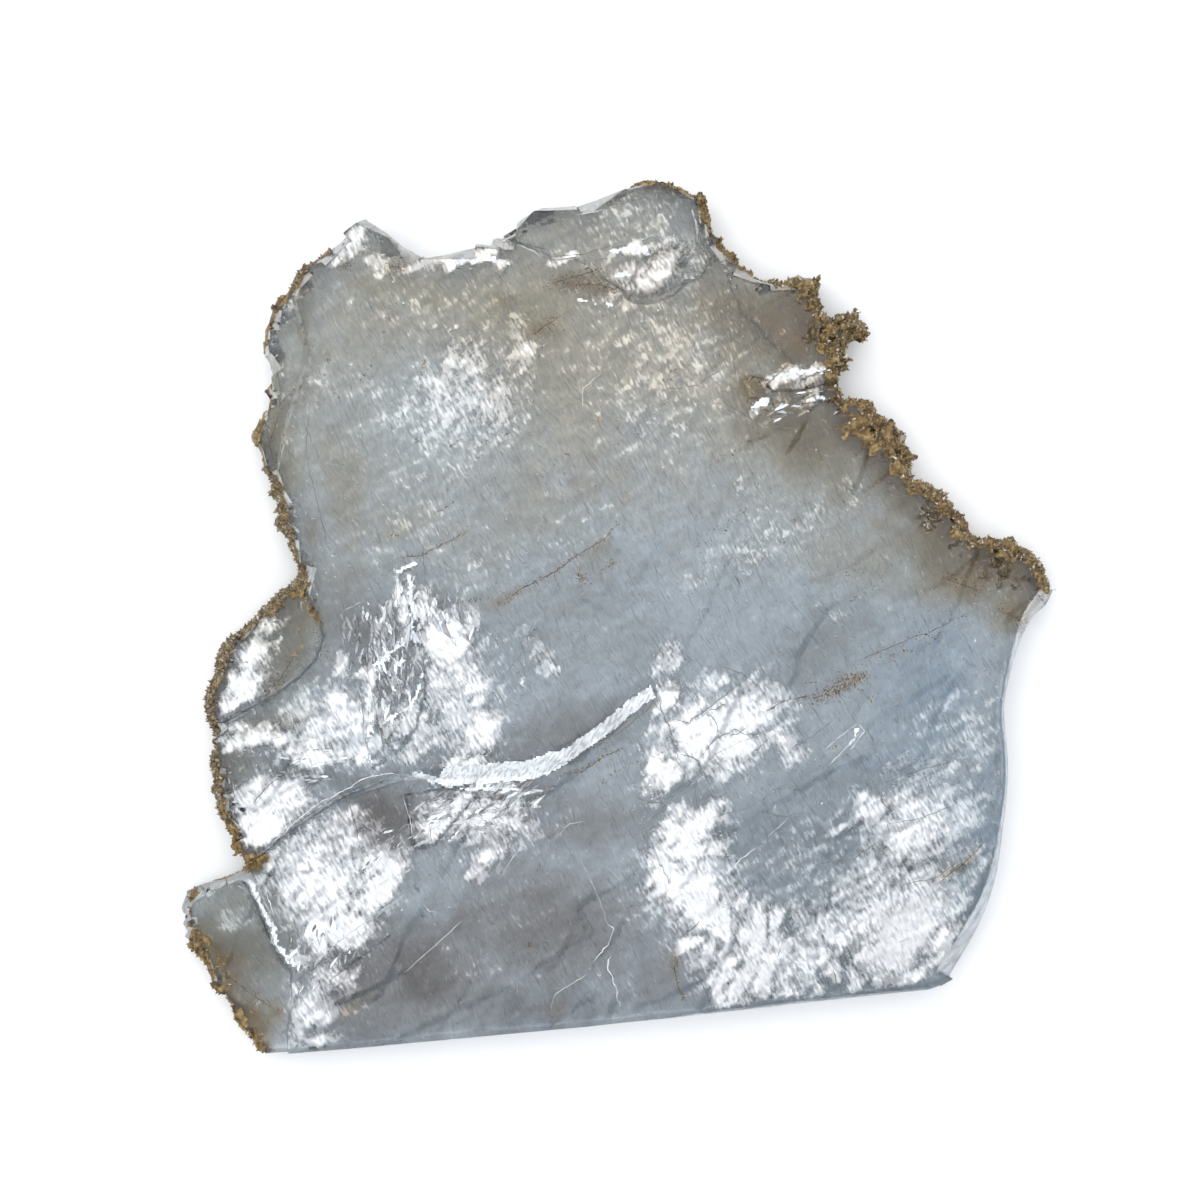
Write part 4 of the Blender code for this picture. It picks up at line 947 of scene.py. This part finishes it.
def stroke_tree():
    """Turns a chain of points into a thin flat strip, as wide at each point as its width says."""
    tree, source = new_tree("stroke", [("Flatness", "Float"), ("Sides", "Int"), ("Material", "Material")])
    curve = add_node(tree, "GeometryNodeMeshToCurve", ("Mesh", source["Geometry"]))
    level = add_node(tree, "GeometryNodeSetCurveNormal", ("Curve", curve.outputs[0]))
    level.mode = "Z_UP"
    ring = add_node(tree, "GeometryNodeCurvePrimitiveCircle", ("Radius", 1.0),
                    ("Resolution", source["Sides"]))
    flat = add_node(tree, "ShaderNodeCombineXYZ", (0, 1.0), (1, source["Flatness"]), (2, 1.0))
    profile = add_node(tree, "GeometryNodeTransform", ("Geometry", ring.outputs[0]),
                       ("Scale", flat.outputs[0]))
    strip = add_node(tree, "GeometryNodeCurveToMesh", ("Curve", level.outputs[0]),
                     ("Profile Curve", profile.outputs[0]), ("Scale", stored(tree, "width")),
                     ("Fill Caps", True))
    return finish_tree(tree, strip.outputs[0], source["Material"])


def grown(points, tree, given):
    """The plain mesh that a tree makes of a mesh of points, its inputs given by name."""
    modifier = points.modifiers.new("tree", "NODES")
    modifier.node_group = tree
    for item in tree.interface.items_tree:
        if item.in_out == "INPUT" and item.name in given:
            modifier[item.identifier] = given[item.name]
    real = bpy.data.meshes.new_from_object(points.evaluated_get(bpy.context.evaluated_depsgraph_get()))
    name = points.name
    points.modifiers.clear()
    bpy.data.objects.remove(points)
    real.name = name
    return link(bpy.data.objects.new(name, real))


def scatter(name, tree, places, fibre, size, seed, shape, material, measures):
    """A mesh of small shapes, one at each place, along its fibre and times its size."""
    mesh = bpy.data.meshes.new(name)
    mesh.from_pydata(np.asarray(places) * MM, [], [])
    store(mesh, "fibre", np.radians(fibre))
    store(mesh, "size", size)
    given = {"Shape": shape, "Material": material, "Seed": seed}
    for socket, value in zip(MEASURES, measures):
        given[socket] = value * MM if socket in MEASURES[:3] else float(value)
    return grown(link(bpy.data.objects.new(name, mesh)), tree, given)


STROKE_STEP = 0.7
STROKE_ROOF = 5.0     # where the slab is thinner than this, a stroke ends
STROKE_FLATNESS = 0.3
STROKE_SIDES = 6


def walk_line(line, sway, seed):
    """Points a step apart along a broken line, swaying to either side."""
    spots = []
    for (x0, y0), (x1, y1) in zip(line, line[1:]):
        count = max(1, int(math.hypot(x1 - x0, y1 - y0) / STROKE_STEP))
        spots += [(x0 + (x1 - x0) * k / count, y0 + (y1 - y0) * k / count) for k in range(count)]
    spots = np.array(spots + [line[-1]])
    for axis in (0, 1):
        spots[1:-1, axis] += [sway * (noise.noise(Vector((a * 0.45, b * 0.45, seed + 7.7 * axis)))
                                      + 0.5 * noise.noise(Vector((a * 1.3, b * 1.3, seed + 3.1 * axis))))
                              for a, b in spots[1:-1]]
    return spots


def make_strokes(name, tree, inside, strokes, material, lift, wide):
    """Thin strips laid on the front face, one for each stroke of (half width, sway, points)."""
    places, widths, edges = [], [], []
    for number, (half_width, sway, line) in enumerate(strokes):
        spots = walk_line(line, sway, number)
        height = inside.roof_over(spots[:, 0], spots[:, 1])
        spots, height = spots[height > STROKE_ROOF], height[height > STROKE_ROOF]
        if len(spots) < 2:
            continue
        share = np.linspace(0, 1, len(spots))
        taper = np.clip(np.minimum(share, 1 - share) * 6, 0.25, 1)
        ragged = np.array([1 + 0.6 * noise.noise(Vector((a * 0.9, b * 0.9, 5.5))) for a, b in spots])
        first = len(places)
        places += [(a, b, c + lift) for (a, b), c in zip(spots, height)]
        widths += list(wide * half_width * taper * ragged * MM)
        edges += [(first + k, first + k + 1) for k in range(len(spots) - 1)]
    mesh = bpy.data.meshes.new(name)
    mesh.from_pydata(np.array(places) * MM, edges, [])
    store(mesh, "width", widths)
    points = link(bpy.data.objects.new(name, mesh))
    return grown(points, tree, {"Flatness": STROKE_FLATNESS, "Sides": STROKE_SIDES, "Material": material})


def pick(rng, weights, count):
    """Random indices, each as likely as its weight says."""
    return rng.choice(len(weights), size=count, p=weights / weights.sum())


LOWEST_FLAKE = 1.5


def make_flakes(name, tree, inside, weights, fibre, count, depths, seed, shape, material, measures):
    """Flakes at random places, most where the weights are high, between two depths below the face."""
    rng = np.random.default_rng(seed)
    chosen = pick(rng, weights, count)
    shift = rng.uniform(-0.5, 0.5, (count, 2)) * BED_CELL
    z = np.maximum(inside.low_roof[chosen] - rng.uniform(*depths, count), LOWEST_FLAKE)
    places = np.stack([inside.x[chosen] + shift[:, 0], inside.y[chosen] + shift[:, 1], z], 1)
    size = 0.7 + 0.6 * np.clip(weights[chosen], 0, 1)
    return scatter(name, tree, places, fibre[chosen], size, seed, shape, material, measures)


def make_rust(tree, inside, material):
    """Rusty grains strewn along their lines, on the front face."""
    rng = np.random.default_rng(SEED + 5)
    spots = []
    for stray, count, line in RUST_LINES:
        path = walk_line(line, 0.5, count)
        start = rng.integers(0, len(path) - 1, count)
        share = rng.uniform(0, 1, (count, 1))
        spots.append(path[start] * (1 - share) + path[start + 1] * share + rng.normal(0, stray, (count, 2)))
    spots = np.concatenate(spots)
    height = inside.roof_over(spots[:, 0], spots[:, 1])
    keep = height > LOW_ROOF
    places = np.concatenate([spots[keep], height[keep, None] - 0.05], axis=1)
    return scatter("rust_grains", tree, places, rng.uniform(0, 180, len(places)), np.ones(len(places)), 9,
                   grain_shape("rust_grain", 3), material, (0.42, 0.34, 0.24, 0.6, 0.4, 1.5))


def crusted_faces(body):
    """The corners' places, direction, crust and area of each face of the body."""
    mesh = body.data
    corners = numbers(mesh.polygons, "vertices", 3, np.int32)
    crust = numbers(mesh.attributes["crust"].data, "value")[corners].mean(axis=1)
    normal, area = numbers(mesh.polygons, "normal", 3), numbers(mesh.polygons, "area")
    return points_of(mesh)[corners], normal, crust, area


LOWEST_GRAIN = 0.9


def make_crust(name, tree, faces, wanted, count, seed, shape, material, measures):
    """Grains on the crusted faces of the body, where wanted(x, y) is true, pointing out of its sides."""
    corners, normal, level, area = faces
    rng = np.random.default_rng(seed)
    centre = corners.mean(axis=1)
    steep = np.hypot(normal[:, 0], normal[:, 1]) > 0.5
    weights = area * np.clip(level - 0.35, 0, 1) ** 1.5 * (normal[:, 2] > -0.4)
    weights = weights * wanted(centre[:, 0], centre[:, 1])
    chosen = pick(rng, weights.astype(float), count)
    share = rng.dirichlet((1, 1, 1), count)
    spots = (corners[chosen] * share[:, :, None]).sum(axis=1) - 0.15 * normal[chosen]
    spots[:, 2] = np.maximum(spots[:, 2], LOWEST_GRAIN)
    size = rng.uniform(0.6, 1.0, count) ** 2 * (0.7 + 0.6 * level[chosen])
    outward = np.degrees(np.arctan2(normal[chosen, 1], normal[chosen, 0]))
    turn = np.where(steep[chosen], outward + rng.normal(0, 30, count), rng.uniform(0, 360, count))
    return scatter(name, tree, spots, turn, size, seed, shape, material, measures)


# Where each sort of crust grows. The foot of the slab is its left side below this height.
FOOT_TOP = -62


def on_right(x, y):
    return x > 0


def on_left(x, y):
    return (x < 0) & (y > FOOT_TOP) & ((y < 12) | (x > -99) | (y < 45))


def where_pale(x, y):
    return (x > 40) | ((x < -60) & (y > FOOT_TOP))


def at_foot(x, y):
    return (x < 0) & (y <= FOOT_TOP)


# ---------------------------------------------------------------- materials

def noise_node(tree, place, scale, detail, stretch=None, turn=0.0):
    """A noise texture on the object's own coordinates, its lumps stretched along the turned axes."""
    if stretch:
        mapping = add_node(tree, "ShaderNodeMapping", ("Rotation", (0, 0, math.radians(turn))),
                           ("Scale", stretch), ("Vector", place))
        mapping.vector_type = "TEXTURE"
        place = mapping.outputs[0]
    texture = add_node(tree, "ShaderNodeTexNoise", ("Scale", scale), ("Detail", detail), ("Vector", place))
    return texture.outputs["Fac"]


def ranged(tree, value, low, high, to_low, to_high):
    """The value moved from one range to another, and kept inside it."""
    return add_node(tree, "ShaderNodeMapRange", *enumerate((value, low, high, to_low, to_high))).outputs[0]


def blended(tree, kind, factor, first, second):
    node = tree.nodes.new("ShaderNodeMix")
    node.data_type = "RGBA"
    node.blend_type = kind
    for socket, value in zip((node.inputs[0], node.inputs[6], node.inputs[7]), (factor, first, second)):
        feed(tree, socket, value)
    return node.outputs[2]


def bumped(tree, height, distance, strength, *more):
    """The shading of a surface raised by the height, which runs up to the distance in millimetres."""
    return add_node(tree, "ShaderNodeBump", ("Height", height), ("Distance", distance * MM),
                    ("Strength", strength), *more).outputs[0]


def attribute(tree, name, output="Fac"):
    """A number or a colour kept for each point or face."""
    node = tree.nodes.new("ShaderNodeAttribute")
    node.attribute_name = name
    return node.outputs[output]


def object_place(tree):
    return tree.nodes.new("ShaderNodeTexCoord").outputs["Object"]


def summed(tree, first, share, second):
    """The first value times its share, plus the second."""
    return math_node(tree, "MULTIPLY_ADD", first, share, second)


def crystal_material():
    """Clear selenite: hazy, fibrous, tinted where it is stained, darker where shade is painted in, silvery
    where its cleavages open.
    """
    material, tree, shader = new_material("selenite")
    place = object_place(tree)
    lumps = noise_node(tree, place, 340, 2.5, (2, 1, 1), 28)
    fine = noise_node(tree, place, 1300, 1, (3, 1, 1), 118)
    half_lumps = summed(tree, lumps, 0.5, 0.0)
    grain = summed(tree, fine, 0.5, half_lumps)
    clouds = ranged(tree, grain, 0.3, 0.7, 0.70, 1.24)
    tone = blended(tree, "MULTIPLY", 1.0, attribute(tree, "tint", "Color"), clouds)

    # Open cleavages mirror the light: on the front by the veil and the grain, on the sides in fine sheets.
    level = summed(tree, grain, 2.7, summed(tree, attribute(tree, "veil"), 1.85, 0.0))
    steep = math_node(tree, "POWER", ranged(tree, level, 1.70, 2.75, 0.0, 1.0), 1.2)
    flecks = ranged(tree, fine, 0.36, 0.64, 0.41, 0.52)
    open_share = summed(tree, steep, flecks, 0.0)
    sheets = noise_node(tree, place, 900, 2, (14, 14, 1), 0)
    silk = ranged(tree, summed(tree, sheets, 0.5, half_lumps), 0.34, 0.66, 0.20, 0.50)
    side_share = summed(tree, attribute(tree, "side"), silk, 0.0)
    mirror = math_node(tree, "MAXIMUM", open_share, side_share)
    tree.links.new(blended(tree, "MIX", mirror, tone, (0.95, 0.97, 1, 1)), shader.inputs["Base Color"])
    tree.links.new(mirror, shader.inputs["Metallic"])

    rough = summed(tree, attribute(tree, "crust"), 0.3, ranged(tree, steep, 0.0, 0.6, 0.20, 0.40))
    tree.links.new(rough, shader.inputs["Roughness"])
    layered = bumped(tree, side_share, 0.4, 0.4)
    tree.links.new(bumped(tree, grain, 0.1, 0.35, ("Normal", layered)), shader.inputs["Normal"])
    shader.inputs["IOR"].default_value = 1.52
    shader.inputs["Transmission Weight"].default_value = 1.0
    absorption = tree.nodes.new("ShaderNodeVolumeAbsorption")
    absorption.inputs["Color"].default_value = (0.2, 0.35, 0.45, 1)
    absorption.inputs["Density"].default_value = 24.0
    tree.links.new(absorption.outputs[0], tree.nodes["Material Output"].inputs["Volume"])
    return material


def silver_material(name, darkest):
    """The pearly white of open cleavages, each flake darker or brighter than the next; where the darkest is
    low, the darker flakes are painted shade, for facets turned from the light.
    """
    material, tree, shader = new_material(name)
    fine = noise_node(tree, object_place(tree), 1000, 1, (4, 1, 1), 62)
    tone = blended(tree, "MIX", ranged(tree, fine, 0.35, 0.6, 0.0, 1.0),
                   (0.38, 0.42, 0.46, 1), (0.70, 0.72, 0.74, 1))
    darkened = ranged(tree, attribute(tree, "shade"), 0, 1, darkest, 1.0)
    tree.links.new(blended(tree, "MULTIPLY", 1.0, tone, darkened), shader.inputs["Base Color"])
    tree.links.new(ranged(tree, fine, 0.3, 0.7, 0.25, 0.5), shader.inputs["Roughness"])
    tree.links.new(bumped(tree, fine, 0.1, 0.4), shader.inputs["Normal"])
    shader.inputs["Metallic"].default_value = 0.85
    return material


def frost_material():
    """Broken white ledges, crossed by fine grey hatching."""
    material, tree, shader = new_material("frosted ledge")
    place = object_place(tree)
    hatch = noise_node(tree, place, 1500, 2, (4, 1, 1), 60)
    patches = noise_node(tree, place, 260, 3, (2, 1, 1), 30)
    tone = blended(tree, "MIX", ranged(tree, hatch, 0.38, 0.55, 0.0, 1.0),
                   (0.47, 0.51, 0.54, 1), (0.78, 0.81, 0.83, 1))
    darkened = ranged(tree, patches, 0.35, 0.55, 0.75, 1.0)
    tree.links.new(blended(tree, "MULTIPLY", 1.0, tone, darkened), shader.inputs["Base Color"])
    tree.links.new(ranged(tree, hatch, 0.3, 0.7, 0.3, 0.6), shader.inputs["Roughness"])
    height = blended(tree, "MIX", 0.5, hatch, patches)
    tree.links.new(bumped(tree, height, 0.2, 0.3), shader.inputs["Normal"])
    shader.inputs["Metallic"].default_value = 0.25
    return material


def stained_material(name, dark, middle, pale, scale):
    """An opaque stain or crust grain, from dark through middle to pale, mottled at the scale."""
    material, tree, shader = new_material(name)
    mottle = noise_node(tree, object_place(tree), scale, 3)
    # The kept shade is random on each grain; on the crust's skin and sides it is painted shade, darker in
    # the pits.
    level = summed(tree, mottle, 0.9, ranged(tree, attribute(tree, "shade"), 0, 1, -0.35, 0.35))
    tone = blended(tree, "MIX", ranged(tree, level, 0.15, 0.5, 0.0, 1.0), (*dark, 1), (*middle, 1))
    tone = blended(tree, "MIX", ranged(tree, level, 0.5, 0.8, 0.0, 1.0), tone, (*pale, 1))
    tree.links.new(tone, shader.inputs["Base Color"])
    tree.links.new(ranged(tree, mottle, 0.3, 0.7, 0.45, 0.75), shader.inputs["Roughness"])
    tree.links.new(bumped(tree, mottle, 0.15, 0.6), shader.inputs["Normal"])
    return material


# ---------------------------------------------------------------- putting it together

def dress(piece, *materials):
    """Gives a finished piece its materials, keeps it inside the slab's box and ties it to the slab."""
    place = np.clip(points_of(piece.data) * MM, *cad_box)
    piece.data.vertices.foreach_set("co", place.ravel())
    piece.data.update()
    for material in materials:
        piece.data.materials.append(material)
    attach(piece, "root")
    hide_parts(SLAB)


def bedded(inside, weights):
    """The weights, with none where the slab is thin or a crack runs."""
    thin = inside.low_roof < LOW_ROOF
    return np.where(thin | (near_lines(inside.x, inside.y, CRACKS) < CRACK_GAP), 0, weights)


make_camera()
make_floor()
make_light()

body = make_body()
carve(body)
colour_body(body)
roughen_sides(body)
mark_sides(body.data, 1)
inside = Inside(body)
placed, laid = scatter_tree(), stroke_tree()

silver = silver_material("silver cleavage", 0.82)
# Painted shade: the grey copy darkens its flakes and plates at random, down to grey, for facets turned away
# from the light.
shaded_silver = silver_material("grey cleavage", 0.22)
shadow, rust, stone, dull_stone, ochre_stone, pale_stone = (stained_material(*look) for look in (
    ("crack shadow", (0.16, 0.155, 0.14), (0.27, 0.27, 0.26), (0.40, 0.41, 0.41), 900),
    ("rust", (0.05, 0.025, 0.006), (0.17, 0.085, 0.02), (0.33, 0.19, 0.06), 500),
    ("crust crystals", (0.07, 0.04, 0.012), (0.19, 0.122, 0.042), (0.33, 0.245, 0.12), 650),
    ("dull crust", (0.07, 0.048, 0.024), (0.17, 0.128, 0.07), (0.33, 0.28, 0.19), 650),
    ("ochre crust", (0.09, 0.05, 0.01), (0.25, 0.145, 0.025), (0.36, 0.27, 0.13), 260),
    ("pale crystals", (0.19, 0.15, 0.09), (0.36, 0.31, 0.21), (0.58, 0.56, 0.50), 400)))

dress(body, crystal_material(), stone)
dress(make_frost(inside), frost_material())

# The flakes in the slab: how likely at each place, their fibre, how many, between which depths,
# their seed, shape, material and measures.
x, y = inside.x, inside.y
wobble = 0.22 * noise_at(x, y, 7, 3.5, 62, 11) + 0.16 * noise_at(x, y, 2.6, 1.1, 62, 12)
cover, fibre = patch_cover(*torn(x, y), VEILS, wobble)
grain_turn = np.where(cover > 0.25, fibre, 118 + 25 * noise_at(x, y, 40, 40, 0, 13))
shards, shard_turn = patch_cover(x, y, SHARD_PATCHES)
flake, plate = flake_shape(), plate_shape()
for name, weights, *rest in (
        ("veil_flakes", cover ** 1.5 + 0.02, grain_turn, 24000, (0.8, 3.6), 21, flake, silver,
         (1.3, 0.5, 0.14, 0.6, 0.3, 0.6)),
        ("fibres", 0.35 + cover, grain_turn, 6000, (-0.02, 1.0), 22, flake, shaded_silver,
         (4.5, 0.13, 0.08, 0.6, 0.02, 0.25)),
        ("specks", 0.5 + cover, grain_turn, 6000, (0.0, 1.2), 23, flake, silver,
         (0.7, 0.4, 0.12, 0.7, 0.2, 3.0)),
        ("shards", shards, shard_turn, 900, (-0.12, 0.5), 24, plate, shaded_silver,
         (3.2, 0.75, 0.16, 0.7, 0.15, 0.45))):
    dress(make_flakes(name, placed, inside, bedded(inside, weights), *rest))

dress(make_strokes("cracks", laid, inside, GREY_STROKES, shadow, 0.0, 0.7))
dress(make_strokes("white_lines", laid, inside, WHITE_STROKES, silver, 0.03, 0.6))
dress(make_rust(placed, inside, rust))
dress(make_strokes("rust_lines", laid, inside, RUST_STROKES, rust, 0.0, 1.0))
dress(make_crust_skin(inside), stone)

# The crust: where, how many, the seed, shape, material and measures of its grains and blades.
faces = crusted_faces(body)
grain, blade = grain_shape("crust_grain", 31), blade_shape()
for name, *rest in (
        ("crust_right", on_right, 9000, 31, grain, stone, (0.75, 0.6, 0.5, 0.6, 1.2, 3.0)),
        ("crust_right_blades", on_right, 6000, 34, blade, stone, (0.95, 0.7, 0.5, 0.6, 0.6, 0.7)),
        ("crust_left", on_left, 7000, 32, grain, dull_stone, (0.75, 0.6, 0.5, 0.6, 1.2, 3.0)),
        ("crust_left_blades", on_left, 4500, 35, blade, dull_stone, (1.1, 0.8, 0.6, 0.6, 0.6, 0.6)),
        ("crust_pale", where_pale, 3500, 36, blade, pale_stone, (1.0, 0.7, 0.5, 0.6, 0.8, 0.8)),
        ("crust_foot", at_foot, 2500, 33, grain, ochre_stone, (0.7, 0.6, 0.5, 0.5, 1.0, 3.0)),
        ("crust_foot_blades", at_foot, 1000, 37, blade, ochre_stone, (1.0, 0.7, 0.5, 0.5, 0.5, 0.6))):
    dress(make_crust(name, placed, faces, *rest))
